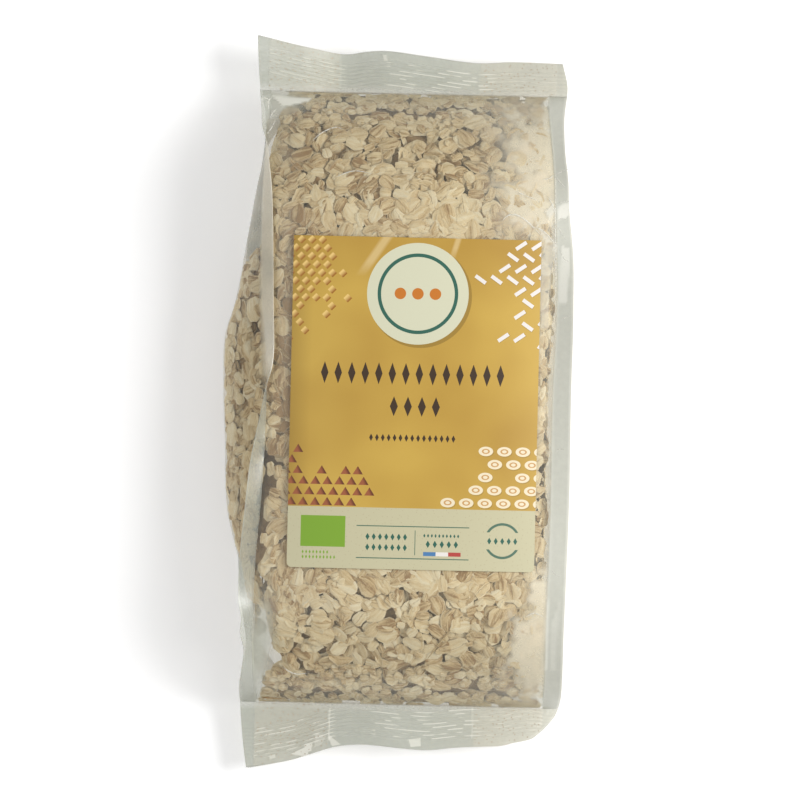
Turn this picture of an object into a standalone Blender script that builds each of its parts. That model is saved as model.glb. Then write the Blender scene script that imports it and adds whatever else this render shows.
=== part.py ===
"""Sealed clear side-gusset bag of large rolled oats, lying on its back with its label up.

The bag is one closed skin, lofted from cross-sections along Y. Each section has a crowned
front panel, a flat back panel, a left side panel that bulges out, a right side panel that
folds in, and a welded fin on each of its four long edges. Both ends flatten into sealed
flaps. The label is a thin plate that follows the front panel.

Lengths are in millimetres, and metres() turns them into metres. +Z is up, +Y is towards the
bag's top seal, and the origin is under the middle of the bag.
"""

import math

import bpy
import numpy as np

# Driving dimensions, in millimetres
SIDE_TOP = 43.0  # height of the front panel's long edges where the bag is full
CROWN = 6.5  # how much higher the front panel's middle is
CROWN_POWER = 2.4  # a higher power keeps more of the front flat
BACK_EDGE = 2.2  # height of the back panel's long edges
BACK_FLAT = 0.72  # share of the back panel's width that lies flat
SEAL_Z = 15.0  # height of the sealed flaps
SKIN = 1.4  # thickness of a sealed flap
FIN = 0.5  # thickness of a fin
TOP_ROOT = 123.0  # where the contents end and the flaps begin
BOTTOM_ROOT = -122.5
TOP_END = 138.0  # nominal ends of the flaps, before their cut edges are bent
BOTTOM_END = -139.0
FRONT_RISE = (52.0, 2.2, 0.8)  # length over which the front rises to full height, and its powers
BACK_RISE = (36.0, 2.5, 1.0)  # the same for the back, down to the table
WAVE_START = 25.0  # the flaps' wave begins this far inside their roots
WAVE_LENGTH = 40.0  # and is full after this length
BULGE_POWER = 2.0  # a side panel that bulges out is a parabola
FOLD_POWER = 1.2  # one that folds in is nearly a sharp V
FOLD_TURN = (-3.0, 3.0)  # fold depths between which one shape turns into the other
FOLD_OPEN = (2.0, 11.0)  # side heights between which a fold opens at the flaps

# Relief of the flakes that press on the film: crossed waves that sway
FLAKE_BUMP = 0.35
FLAKE_LENGTH = 18.0  # from one wave to the next along X
FLAKE_SLOW = 0.92  # share of the same across
FLAKE_SWAY_X = (1.4, 0.31)  # size in radians, and radians a millimetre
FLAKE_SWAY_Y = (1.2, 0.27)

LABEL_LOW = (-45.2, -67.7)  # lower left corner of the label
LABEL_HIGH = (53.7, 64.9)  # upper right corner
LABEL_CORNER = 1.8
LABEL_GAP = 0.3
LABEL_THICK = 0.4
LABEL_CLEAR = (2.0, 7.0)  # the film is smooth this far round the label, and fully bumpy beyond
LABEL_COLUMNS = 20
LABEL_LINES = 28

# Corner of the lower flap that curls under
CURL_CENTRE = (44.0, -116.0)
CURL_START = 17.3
CURL_RADIUS = 4.0
CURL_CORNER = 0.35  # a lower power curls more of both edges beside the corner
CURL_FADE = 14.0

# Curves along the bag: the place along Y, then the value there
LEFT_SEAM = [(-147, -52.2), (-130, -55.4), (-103, -57.7), (-66, -57.7), (-38, -55.7),
             (5, -54.6), (40, -57.2), (80, -57.8), (103, -57.1), (121, -55.8), (145, -57.0)]
RIGHT_SEAM = [(-139, 57.0), (-119, 59.1), (-90, 59.4), (-45, 60.0), (3, 59.9),
              (35, 60.8), (67, 60.1), (95, 58.3), (116, 56.2), (136, 55.3)]
LEFT_FOLD = [(-139, 22), (-122, 20), (-112, 12), (-100, 4), (-85, -2), (-68, -6), (-58, -9.5), (-45, -13.6),
             (-16, -16.5), (2, -17.6), (24, -16.2), (38, -11.2), (64, -6), (92, -1.2),
             (103, 2), (112, 9), (122, 20), (139, 22)]
RIGHT_FOLD = [(-139, 22), (-122, 19), (-105, 11), (-80, 6), (0, 4.5), (80, 6), (105, 11), (122, 19), (139, 22)]
LEFT_FIN_TURN = [(-148, 0), (-118, 10), (-110, 40), (-101, 56), (-94, 38), (-89, 44), (-80, 20), (-66, 2),
                 (-45, 10), (-29, 25), (-15, 52), (-8, 66), (5, 90), (12, 111), (22, 126), (80, 127),
                 (92, 112), (103, 90), (108, 68), (116, 50), (124, 28), (131, 12), (145, 0)]
LEFT_FIN_WIDTH = [(-148, 5.6), (-130, 6.4), (-60, 6.5), (0, 6.2), (80, 6.0), (110, 5.2), (145, 5.2)]
LEFT_BACK_FIN_WIDTH = [(-148, 6), (-116, 6), (-108, 5), (-100, 3.2), (-90, 4.2), (-80, 6), (64, 6), (72, 4.5),
                       (80, 3.2), (88, 2.2), (96, 1.2), (104, 0.8), (112, 1.4), (120, 3.2), (145, 5.2)]
RIGHT_FIN_TURN = [(-139, 0), (-110, 8), (-60, -6), (0, 8), (40, 14), (72, -8), (95, 16), (110, 6), (138, 0)]
RIGHT_FIN_WIDTH = [(-139, 6.6), (-104, 6.7), (0, 7.1), (40, 6.4), (62, 6.0), (78, 5.0), (90, 5.2),
                   (101, 4.8), (113, 5.4), (127, 7.3), (138, 5.6)]
RIGHT_BACK_FIN_WIDTH = [(-139, 6), (62, 6), (78, 5), (90, 5), (101, 4.4), (113, 5), (138, 5.6)]

# Curves across the flaps: the place along X, then the value there
TOP_EDGE = [(-62, 145.0), (-57, 143.9), (-47.6, 141.7), (-39.6, 140.1), (-26, 138.0), (-18, 139.2), (-11, 139.7),
            (6, 137.9), (27, 135.6), (40, 136.3), (61, 136.0)]
BOTTOM_EDGE = [(-58, -148.8), (-50, -147.2), (-41.5, -145.3), (-32, -142.1), (-25, -139.8), (-15, -138.5),
               (3, -139.7), (12, -140.2), (25, -138.8), (36, -138.2), (42, -137.8), (48, -136.5),
               (55, -136.0), (66, -137.5)]
TOP_WAVE = [(-62, 5), (-44, 2.5), (-27, -1.5), (-10, 1.0), (15, 0.5), (40, -1), (61, 1.5)]
BOTTOM_WAVE = [(-58, -5), (-40, -3), (-25, 0), (-5, 2), (20, 0.5), (45, -0.5), (66, -2)]

# How finely the skin is divided
PANEL_STEPS = 20
SIDE_STEPS = 8
FIN_STEPS = 2
BODY_STEPS = 50
FLAP_STEPS = 4
EVEN_SHARE = 0.78  # the rest of the spacing draws the sections towards the ends
SHARP_ANGLE = 40.0


def metres(points):
    return np.asarray(points, dtype=float) / 1000.0


def along(curve, at):
    """Smooth curve through the listed points: a cubic between each two, with the mean slope at each point."""
    places, values = np.array(curve, dtype=float).T
    steps = np.diff(values) / np.diff(places)
    slopes = np.concatenate(([steps[0]], (steps[:-1] + steps[1:]) / 2, [steps[-1]]))
    at = np.clip(np.asarray(at, dtype=float), places[0], places[-1])
    low = np.clip(np.searchsorted(places, at, side="right") - 1, 0, len(places) - 2)
    span = places[low + 1] - places[low]
    t = (at - places[low]) / span
    rise = (3 - 2 * t) * t * t
    return (values[low] * (1 - rise) + values[low + 1] * rise
            + span * (slopes[low] * t * (1 - t) ** 2 - slopes[low + 1] * t * t * (1 - t)))


def smooth_step(value):
    t = np.clip(value, 0.0, 1.0)
    return t * t * (3 - 2 * t)


def full_height(y, rise, power, blunt):
    """How far the bag has swollen at y: 0 at a flap's root, 1 after the rise."""
    inside = np.minimum(y - BOTTOM_ROOT, TOP_ROOT - y)
    u = np.clip(inside / rise, 0.0, 1.0)
    return (1 - (1 - u) ** power) ** blunt


def flap_z(x, y):
    """Height of the middle of the flap, or of the bag's end where it joins the flap."""
    top = along(TOP_WAVE, x) * smooth_step((y - TOP_ROOT + WAVE_START) / WAVE_LENGTH)
    bottom = along(BOTTOM_WAVE, x) * smooth_step((BOTTOM_ROOT + WAVE_START - y) / WAVE_LENGTH)
    return SEAL_Z + top + bottom


def between(value, limits):
    """0 below the first limit, 1 above the second, smooth in between."""
    return smooth_step((value - limits[0]) / (limits[1] - limits[0]))


def flake_relief(x, y):
    """Bumps of a flake's size where flakes press on the film, none near the label or on the flaps."""
    turn = 2 * math.pi / FLAKE_LENGTH
    wave_x = np.sin(turn * x + FLAKE_SWAY_X[0] * np.sin(FLAKE_SWAY_X[1] * y))
    wave_y = np.sin(turn * FLAKE_SLOW * y + FLAKE_SWAY_Y[0] * np.sin(FLAKE_SWAY_Y[1] * x))
    beside = np.maximum(LABEL_LOW[0] - x, x - LABEL_HIGH[0])
    beyond = np.maximum(LABEL_LOW[1] - y, y - LABEL_HIGH[1])
    clear = between(np.maximum(beside, beyond), LABEL_CLEAR)
    return FLAKE_BUMP * wave_x * wave_y * clear * full_height(y, *FRONT_RISE) ** 2


def across(x, y):
    """Where x lies between the two front seams, from -1 to 1."""
    left, right = along(LEFT_SEAM, y), along(RIGHT_SEAM, y)
    return np.clip((2 * x - left - right) / (right - left), -1.0, 1.0)


def front_z(x, y):
    """Height of the front panel over (x, y): side height plus a crown that falls to 0 at the seams."""
    edge = flap_z(x, y) + SKIN / 2
    swell = full_height(y, *FRONT_RISE)
    crown = CROWN * (1 - np.abs(across(x, y)) ** CROWN_POWER)
    return edge * (1 - swell) + (SIDE_TOP + crown) * swell


def back_z(x, y):
    """Height of the back panel: flat on the table in the middle, a little higher at its long edges."""
    edge = flap_z(x, y) - SKIN / 2
    settle = full_height(y, *BACK_RISE)
    beside = np.clip((np.abs(across(x, y)) - BACK_FLAT) / (1 - BACK_FLAT), 0.0, 1.0)
    return edge * (1 - settle) + BACK_EDGE * beside ** 2 * settle


def fin(root, turn, width, side, back):
    """Four-sided plate standing on a long edge: outer face out to the tip, then inner face back to the root."""
    turn = math.radians(turn)
    out = np.array([side * math.cos(turn), math.sin(turn)])
    inward = FIN * np.array([side * math.sin(turn), -math.cos(turn)]) * (-1 if back else 1)
    steps = np.linspace(0.0, width, FIN_STEPS + 1)
    outer = root + steps[:, None] * out
    inner = outer[::-1] + inward
    return np.concatenate([outer, inner])


def side_panel(start, end, fold, side):
    """Side panel between two fins: bulges out as an arc where fold is negative, else folds in as a V."""
    s = np.linspace(0.0, 1.0, SIDE_STEPS + 1)[1:-1]
    opened = fold * between(abs(end[1] - start[1]), FOLD_OPEN)
    power = BULGE_POWER + (FOLD_POWER - BULGE_POWER) * between(opened, FOLD_TURN)
    depth = opened * (1 - np.abs(2 * s - 1) ** power)
    line = start + s[:, None] * (end - start)
    line[:, 0] -= side * depth
    return line


def section(y):
    """One cross-section as (x, z) points, seen along -Y, from the front left seam clockwise round the bag."""
    left, right = float(along(LEFT_SEAM, y)), float(along(RIGHT_SEAM, y))
    x = np.linspace(left, right, PANEL_STEPS + 1)
    front = np.column_stack([x, front_z(x, y) + flake_relief(x, y) * (1 - across(x, y) ** 6)])
    back = np.column_stack([x, back_z(x, y)])[::-1]
    front_right = fin(front[-1], along(RIGHT_FIN_TURN, y), along(RIGHT_FIN_WIDTH, y), 1, False)
    front_left = fin(front[0], along(LEFT_FIN_TURN, y), along(LEFT_FIN_WIDTH, y), -1, False)[::-1]
    back_right = fin(back[0], 0.0, along(RIGHT_BACK_FIN_WIDTH, y), 1, True)[::-1]
    back_left = fin(back[-1], 0.0, along(LEFT_BACK_FIN_WIDTH, y), -1, True)
    right_side = side_panel(front_right[-1], back_right[0], float(along(RIGHT_FOLD, y)), 1)
    left_side = side_panel(back_left[-1], front_left[0], float(along(LEFT_FOLD, y)), -1)
    return np.concatenate([front[:-1], front_right, right_side, back_right, back[1:-1],
                           back_left, left_side, front_left[:-1]])


def bend_flaps(points):
    """Stretches the flaps to their cut edges, then curls the lower right corner under."""
    x, y, z = points.T.copy()
    top = np.clip((y - TOP_ROOT) / (TOP_END - TOP_ROOT), 0.0, 1.0)
    bottom = np.clip((BOTTOM_ROOT - y) / (BOTTOM_ROOT - BOTTOM_END), 0.0, 1.0)
    y = y + top * (along(TOP_EDGE, x) - TOP_END) + bottom * (along(BOTTOM_EDGE, x) - BOTTOM_END)
    beyond_x = np.maximum(x - CURL_CENTRE[0], 0.0)
    beyond_y = np.maximum(CURL_CENTRE[1] - y, 0.0)
    far = np.maximum(np.hypot(beyond_x, beyond_y), 1e-9)
    corner = np.clip(2 * beyond_x * beyond_y / far ** 2, 0.0, 1.0) ** CURL_CORNER
    fade = smooth_step((BOTTOM_ROOT + CURL_FADE - y) / CURL_FADE)
    turn = np.maximum(far - CURL_START, 0.0) / CURL_RADIUS * corner * fade
    pulled = (turn - np.sin(turn)) * CURL_RADIUS / far
    return np.column_stack([x - beyond_x * pulled, y + beyond_y * pulled, z - CURL_RADIUS * (1 - np.cos(turn))])


def cap(ring, flip):
    """Faces that close a flap's cut end: quads between front and back, fans over the four fins and two sides."""
    fin_points = 2 * (FIN_STEPS + 1)
    front_end = PANEL_STEPS
    back_start = front_end + fin_points + (SIDE_STEPS - 1) + fin_points - 1
    back_end = back_start + PANEL_STEPS
    front = list(range(0, front_end + 1))
    back = list(range(back_end, back_start - 1, -1))
    faces = [(front[i], back[i], back[i + 1], front[i + 1]) for i in range(PANEL_STEPS)]
    first_fins = [front_end, front_end + fin_points - 1 + SIDE_STEPS]
    first_fins += [back_end, back_end + fin_points - 1 + SIDE_STEPS]
    for first in first_fins:
        for i in range(FIN_STEPS):
            low, high = first + i, first + fin_points - 1 - i
            faces.append((low, high, high - 1, low + 1))
    for first in (front_end + fin_points - 1, back_end + fin_points - 1):
        side = list(range(first, first + SIDE_STEPS + 1))
        inner_top = first - (fin_points - 1)
        inner_low = first + SIDE_STEPS + fin_points - 1
        middle = SIDE_STEPS // 2
        faces += [(inner_top, side[i + 1], side[i]) for i in range(middle)]
        faces.append((inner_top, inner_low, side[middle]))
        faces += [(inner_low, side[i + 1], side[i]) for i in range(middle, SIDE_STEPS)]
    count = len(ring)
    faces = [[ring[i % count] for i in face] for face in faces]
    return [face[::-1] for face in faces] if flip else faces


def stations():
    """Places of the sections along Y, closer together where the ends swell."""
    flap_low = np.linspace(BOTTOM_END, BOTTOM_ROOT, FLAP_STEPS, endpoint=False)
    flap_high = np.linspace(TOP_ROOT, TOP_END, FLAP_STEPS + 1)[1:]
    even = np.linspace(-1.0, 1.0, BODY_STEPS + 1)
    eased = EVEN_SHARE * even + (1 - EVEN_SHARE) * np.sin(even * math.pi / 2)
    middle, half = (TOP_ROOT + BOTTOM_ROOT) / 2, (TOP_ROOT - BOTTOM_ROOT) / 2
    return np.concatenate([flap_low, middle + half * eased, flap_high])


def new_object(name, points, faces, material):
    mesh = bpy.data.meshes.new(name)
    mesh.from_pydata(metres(points).tolist(), [], faces)
    mesh.materials.append(material)
    mesh.shade_smooth()
    mesh.set_sharp_from_angle(angle=math.radians(SHARP_ANGLE))
    item = bpy.data.objects.new(name, mesh)
    bpy.context.scene.collection.objects.link(item)
    return item


def principled(name, colour, roughness):
    material = bpy.data.materials.new(name)
    material.use_nodes = True
    shader = material.node_tree.nodes["Principled BSDF"]
    shader.inputs["Base Color"].default_value = (*colour, 1.0)
    shader.inputs["Roughness"].default_value = roughness
    return material


def bag_points():
    """All sections in a row, as one array of points."""
    rows = []
    for y in stations():
        ring = section(y)
        rows.append(np.column_stack([ring[:, 0], np.full(len(ring), y), ring[:, 1]]))
    return bend_flaps(np.concatenate(rows)), len(rows[0])


def make_bag(points, around):
    rows = len(points) // around
    faces = []
    for row in range(rows - 1):
        for i in range(around):
            a, b = row * around + i, row * around + (i + 1) % around
            faces.append((a, b, b + around, a + around))
    faces += cap(list(range(around)), False)
    faces += cap(list(range((rows - 1) * around, rows * around)), True)
    return new_object("bag", points, faces, principled("film_over_oats", (0.62, 0.50, 0.33), 0.35))


def label_grid():
    """Points of the label's rectangle in lines along X, with its four corner points drawn in on a circle."""
    low, high = np.array(LABEL_LOW), np.array(LABEL_HIGH)
    u, v = np.meshgrid(np.linspace(-1, 1, LABEL_COLUMNS + 1), np.linspace(-1, 1, LABEL_LINES + 1))
    drawn_in = LABEL_CORNER * (1 - math.sqrt(0.5)) * ((np.abs(u) == 1) & (np.abs(v) == 1))
    x = (low[0] + high[0]) / 2 + u * ((high[0] - low[0]) / 2 - drawn_in)
    y = (low[1] + high[1]) / 2 + v * ((high[1] - low[1]) / 2 - drawn_in)
    return x.ravel(), y.ravel()


def make_label(shift):
    """Plate laid on the front panel: its under side, its upper side and a wall round the rim."""
    x, y = label_grid()
    under = np.column_stack([x, y, front_z(x, y) + LABEL_GAP])
    over = under + [0.0, 0.0, LABEL_THICK]
    count, wide = len(x), LABEL_COLUMNS + 1
    faces = []
    for line in range(LABEL_LINES):
        for i in range(LABEL_COLUMNS):
            a = line * wide + i
            faces.append((a, a + wide, a + wide + 1, a + 1))
            faces.append((a + count, a + count + 1, a + count + wide + 1, a + count + wide))
    rim = list(range(LABEL_COLUMNS)) + [line * wide + LABEL_COLUMNS for line in range(LABEL_LINES)]
    rim += [LABEL_LINES * wide + i for i in range(LABEL_COLUMNS, 0, -1)]
    rim += [line * wide for line in range(LABEL_LINES, 0, -1)]
    for a, b in zip(rim, rim[1:] + rim[:1]):
        faces.append((a, b, b + count, a + count))
    points = np.concatenate([under, over]) + shift
    return new_object("front_label", points, faces, principled("printed_label", (0.64, 0.42, 0.08), 0.45))


def clear_scene():
    for item in list(bpy.data.objects):
        bpy.data.objects.remove(item, do_unlink=True)


clear_scene()
skin, ring_size = bag_points()
lowest, highest = skin.min(axis=0), skin.max(axis=0)
to_origin = -np.array([(lowest[0] + highest[0]) / 2, (lowest[1] + highest[1]) / 2, lowest[2]])
make_bag(skin + to_origin, ring_size)
make_label(to_origin)
print("bag box in mm", np.round(highest - lowest, 1), "moved by", np.round(to_origin, 2))
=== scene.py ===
# Looks of a sealed clear bag of large rolled oats that lies on its back, label up.
# The film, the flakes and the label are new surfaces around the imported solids.
import math

import bpy
import numpy as np
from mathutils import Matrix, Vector


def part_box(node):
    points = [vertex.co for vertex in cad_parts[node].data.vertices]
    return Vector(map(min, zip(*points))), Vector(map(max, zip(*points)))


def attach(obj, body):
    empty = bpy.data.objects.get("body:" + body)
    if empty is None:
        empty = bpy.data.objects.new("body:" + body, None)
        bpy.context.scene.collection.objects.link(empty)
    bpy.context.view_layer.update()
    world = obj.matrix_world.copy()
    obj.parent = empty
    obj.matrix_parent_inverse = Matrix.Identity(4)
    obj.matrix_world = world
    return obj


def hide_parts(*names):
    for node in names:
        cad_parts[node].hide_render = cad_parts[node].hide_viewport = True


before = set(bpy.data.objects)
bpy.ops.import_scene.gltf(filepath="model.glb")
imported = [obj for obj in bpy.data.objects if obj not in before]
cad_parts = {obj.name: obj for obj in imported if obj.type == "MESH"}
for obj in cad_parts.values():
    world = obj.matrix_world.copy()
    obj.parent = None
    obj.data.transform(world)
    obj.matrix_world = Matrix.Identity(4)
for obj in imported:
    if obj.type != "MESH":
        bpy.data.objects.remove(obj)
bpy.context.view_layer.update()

mm = 0.001  # everything below is in millimetres until it goes into a mesh
sharpFrom = 48.0  # degrees between faces that meet in a sharp edge

# What shapes the bag. Curves along it list the place along Y and the value there,
# curves across a flap list the place along X and the value there.
bagShape = {
    "sideTop": 43.0,  # height of the front panel's long edges where the bag is full
    "leftCorners": (-62.0, -57.5),  # of the top and the bottom flap, across
    "crown": 6.5,  # how much higher the front's middle is
    "crownPower": 2.4,
    "backEdge": 2.2,  # height of the back panel's long edges
    "backFlat": 0.72,  # share of the back's width that lies flat
    "sealZ": 15.0,  # height of the sealed flaps
    "skin": 0.4,  # and their thickness
    "topRoot": 123.0,  # where the contents end
    "bottomRoot": -122.5,
    "topEnd": 138.0,  # nominal ends of the flaps
    "bottomEnd": -139.0,
    "frontSwell": (52.0, 2.2, 0.8),  # length over which the front swells to full height, and two powers
    "backSwell": (36.0, 2.5, 1.0),
    "curlCentre": (44.0, -116.0),  # corner of the lower flap that curls under
    "curlStart": 17.3,
    "curlRadius": 4.0,
    "curlPower": 0.35,
    "curlFade": 14.0,  # it fades out over this length inside the root
    "panelFolds": (2.0, 9.0),  # a side panel folds where it is higher than this, fully at this much more
    "foldPower": (2.0, 0.8),  # of the arc outwards, and how much less where it folds inwards
    "leftSeam": [(-147, -52.2), (-130, -55.4), (-103, -57.7), (-66, -57.7), (-38, -55.7),
                 (5, -54.6), (40, -57.2), (80, -57.8), (103, -57.1), (121, -55.8), (145, -57.0)],
    "rightSeam": [(-139, 57.0), (-119, 59.1), (-90, 59.4), (-45, 60.0), (3, 59.9),
                  (35, 60.8), (67, 60.1), (95, 58.3), (116, 56.2), (136, 55.3)],
    "leftFold": [(-139, 22), (-122, 20), (-112, 12), (-100, 4), (-85, -2), (-68, -6), (-58, -9.5),
                 (-45, -13.6), (-16, -16.5), (2, -17.6), (24, -16.2), (38, -11.2), (64, -6),
                 (92, -1.2), (103, 2), (112, 9), (122, 20), (139, 22)],
    "rightFold": [(-139, 22), (-122, 19), (-105, 11), (-80, 6), (0, 4.5), (80, 6), (105, 11),
                  (122, 19), (139, 22)],
    "leftFinTurn": [(-148, 0), (-118, 10), (-110, 40), (-101, 56), (-94, 38), (-89, 44), (-80, 20), (-66, 2),
                    (-45, 10), (-29, 25), (-15, 52), (-8, 66), (5, 90), (12, 111), (22, 126), (80, 127),
                    (92, 112), (103, 90), (108, 68), (116, 50), (124, 28), (131, 12), (145, 0)],
    "leftFinWidth": [(-148, 5.6), (-130, 6.4), (-60, 6.5), (0, 6.2), (80, 6.0), (110, 5.2), (145, 5.2)],
    "leftBackFinWidth": [(-148, 6), (-116, 6), (-108, 5), (-100, 3.2), (-90, 4.2), (-80, 6), (64, 6),
                         (72, 4.5), (80, 3.2), (88, 2.2), (96, 1.2), (104, 0.8), (112, 1.4), (120, 3.2),
                         (145, 5.2)],
    "rightFinTurn": [(-139, 0), (-110, 8), (-60, -6), (0, 8), (40, 14), (72, -8), (95, 16), (110, 6),
                     (138, 0)],
    "rightFinWidth": [(-139, 6.6), (-104, 6.7), (0, 7.1), (40, 6.4), (62, 6.0), (78, 5.0), (90, 5.2),
                      (101, 4.8), (113, 5.4), (127, 7.3), (138, 5.6)],
    "rightBackFinWidth": [(-139, 6), (62, 6), (78, 5), (90, 5), (101, 4.4), (113, 5), (138, 5.6)],
    "topEdge": [(-62, 145.0), (-57, 143.9), (-47.6, 141.7), (-39.6, 140.1), (-26, 138.0), (-18, 139.2),
                (-11, 139.7), (6, 137.9), (27, 135.6), (40, 136.3), (61, 136.0)],
    "bottomEdge": [(-58, -148.8), (-50, -147.2), (-41.5, -145.3), (-32, -142.1), (-25, -139.8),
                   (-15, -138.5), (3, -139.7), (12, -140.2), (25, -138.8), (36, -138.2), (42, -137.8),
                   (48, -136.5), (55, -136.0), (66, -137.5)],
    "topWave": [(-62, 5), (-44, 2.5), (-27, -1.5), (-10, 1.0), (15, 0.5), (40, -1), (61, 1.5)],
    "bottomWave": [(-58, -5), (-40, -3), (-25, 0), (-5, 2), (20, 0.5), (45, -0.5), (66, -2)],
    "waveBegins": 25.0,  # this far inside the root
    "waveLength": 40.0,
}


def smoothStep(value):  # 0 to 1 with level ends: 3t^2 - 2t^3
    t = np.clip(value, 0.0, 1.0)
    return t * t * (3 - 2 * t)


def alongCurve(curve, at):  # a cubic between each two listed points, with the mean slope at each point
    places, values = np.array(curve, dtype=float).T
    steps = np.diff(values) / np.diff(places)
    slopes = np.concatenate(([steps[0]], (steps[:-1] + steps[1:]) / 2, [steps[-1]]))
    at = np.clip(np.asarray(at, dtype=float), places[0], places[-1])
    low = np.clip(np.searchsorted(places, at, side="right") - 1, 0, len(places) - 2)
    span = places[low + 1] - places[low]
    t = (at - places[low]) / span
    rise = (3 - 2 * t) * t * t
    return (values[low] * (1 - rise) + values[low + 1] * rise
            + span * (slopes[low] * t * (1 - t) ** 2 - slopes[low + 1] * t * t * (1 - t)))


def sideCurve(side, what, y):  # a curve of the bag's left side (-1) or right side (1)
    return alongCurve(bagShape[("right" if side > 0 else "left") + what], y)


def seams(y):
    return sideCurve(-1, "Seam", y), sideCurve(1, "Seam", y)


def softNoise(x, y, cell, seed):  # random values on a square lattice, blended smoothly, from -1 to 1
    table = np.random.default_rng(seed).uniform(-1, 1, (64, 64))
    u, v = np.asarray(x) / cell, np.asarray(y) / cell
    i, j = np.floor(u).astype(int), np.floor(v).astype(int)
    s, t = smoothStep(u - i), smoothStep(v - j)
    corner = [table[(i + a) % 64, (j + b) % 64] for a in (0, 1) for b in (0, 1)]
    return (corner[0] * (1 - t) + corner[1] * t) * (1 - s) + (corner[2] * (1 - t) + corner[3] * t) * s


def swellOf(face, y):  # 0 at a flap's root, 1 where the bag is full: (1 - (1 - t)^power)^blunt
    rise, power, blunt = bagShape[face + "Swell"]
    inside = np.minimum(y - bagShape["bottomRoot"], bagShape["topRoot"] - y)
    return (1 - (1 - np.clip(inside / rise, 0.0, 1.0)) ** power) ** blunt


def flapZ(x, y):  # middle height of a flap, whose wave fades in near its root
    begin, length = bagShape["waveBegins"], bagShape["waveLength"]
    top = alongCurve(bagShape["topWave"], x) * smoothStep((y - bagShape["topRoot"] + begin) / length)
    bottom = alongCurve(bagShape["bottomWave"], x) * smoothStep((bagShape["bottomRoot"] + begin - y) / length)
    return bagShape["sealZ"] + top + bottom


def acrossBag(x, y):  # -1 at the left seam, 1 at the right seam
    left, right = seams(y)
    return np.clip((2 * x - left - right) / (right - left), -1.0, 1.0)


def frontZ(x, y, skin=bagShape["skin"]):  # side height plus a crown that falls to 0 at the seams
    edge, swell = flapZ(x, y) + skin / 2, swellOf("front", y)
    crown = bagShape["crown"] * (1 - np.abs(acrossBag(x, y)) ** bagShape["crownPower"])
    return edge * (1 - swell) + (bagShape["sideTop"] + crown) * swell


def backZ(x, y, skin=bagShape["skin"]):  # flat on the table, a little higher at its long edges
    edge, settle = flapZ(x, y) - skin / 2, swellOf("back", y)
    beside = np.clip((np.abs(acrossBag(x, y)) - bagShape["backFlat"]) / (1 - bagShape["backFlat"]), 0, 1)
    return edge * (1 - settle) + bagShape["backEdge"] * beside ** 2 * settle


def bendFlaps(x, y, z):  # stretches the flaps to their cut edges, then curls the lower right corner under
    s = bagShape
    top = np.clip((y - s["topRoot"]) / (s["topEnd"] - s["topRoot"]), 0.0, 1.0)
    bottom = np.clip((s["bottomRoot"] - y) / (s["bottomRoot"] - s["bottomEnd"]), 0.0, 1.0)
    y = y + top * (alongCurve(s["topEdge"], x) - s["topEnd"])
    y = y + bottom * (alongCurve(s["bottomEdge"], x) - s["bottomEnd"])
    beyondX = np.maximum(x - s["curlCentre"][0], 0.0)
    beyondY = np.maximum(s["curlCentre"][1] - y, 0.0)
    far = np.hypot(beyondX, beyondY) + 1e-9
    corner = np.clip(2 * beyondX * beyondY / far ** 2, 0.0, 1.0) ** s["curlPower"]
    turn = np.maximum(far - s["curlStart"], 0.0) / s["curlRadius"] * corner
    turn = turn * smoothStep((s["bottomRoot"] + s["curlFade"] - y) / s["curlFade"])
    pulled = (turn - np.sin(turn)) * s["curlRadius"] / far
    return x - beyondX * pulled, y + beyondY * pulled, z - s["curlRadius"] * (1 - np.cos(turn))


def foldDepth(fold, height, share):  # how far in a side panel lies: an arc outwards, or a V inwards
    (least, more), (arc, less) = bagShape["panelFolds"], bagShape["foldPower"]
    fold = fold * smoothStep((height - least) / more)
    power = arc - less * smoothStep((fold + 3) / 6)
    return fold * (1 - np.abs(2 * share - 1) ** power)


def sidePanel(start, end, y, side):  # from the end of one fin to the start of the next
    share = np.linspace(0.0, 1.0, filmShape["sideSteps"] + 1)[None, 1:-1]
    (startX, startZ), (endX, endZ) = [[a[:, None] for a in place] for place in (start, end)]
    depth = foldDepth(sideCurve(side, "Fold", y)[:, None], np.abs(endZ - startZ), share)
    return startX + share * (endX - startX) - side * depth, startZ + share * (endZ - startZ)


def finStrip(rootX, rootZ, turn, width, side, facing):  # outer face to the tip, inner face back
    turn, thick = np.radians(turn), filmShape["fin"]
    t = np.linspace(0.0, 1.0, filmShape["finSteps"] + 1)[None, :]
    x = rootX[:, None] + side * np.cos(turn)[:, None] * width[:, None] * t
    z = rootZ[:, None] + np.sin(turn)[:, None] * width[:, None] * t
    innerX = x[:, ::-1] + facing * thick * side * np.sin(turn)[:, None]
    innerZ = z[:, ::-1] - facing * thick * np.cos(turn)[:, None]
    return np.hstack([x, innerX]), np.hstack([z, innerZ])


def pointRows(x, y, z):
    return np.stack([x, y, z], axis=-1).reshape(-1, 3)


def meshFrom(name, points, faces, material, smooth=True):  # points in millimetres, faces as array or list
    mesh = bpy.data.meshes.new(name)
    faces = faces if isinstance(faces, list) else faces.tolist()
    mesh.from_pydata((np.asarray(points) * mm).tolist(), [], faces)
    mesh.materials.append(material)
    if smooth:
        mesh.shade_smooth()
        mesh.set_sharp_from_angle(angle=math.radians(sharpFrom))
    mesh.update()
    piece = bpy.data.objects.new(name, mesh)
    bpy.context.scene.collection.objects.link(piece)
    return piece


def setAttribute(piece, name, values, kind="FLOAT"):
    layer = piece.data.attributes.new(name, kind, "POINT")
    values = np.asarray(values, dtype=np.float32)
    layer.data.foreach_set("value" if kind == "FLOAT" else "vector", values.ravel())


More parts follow.
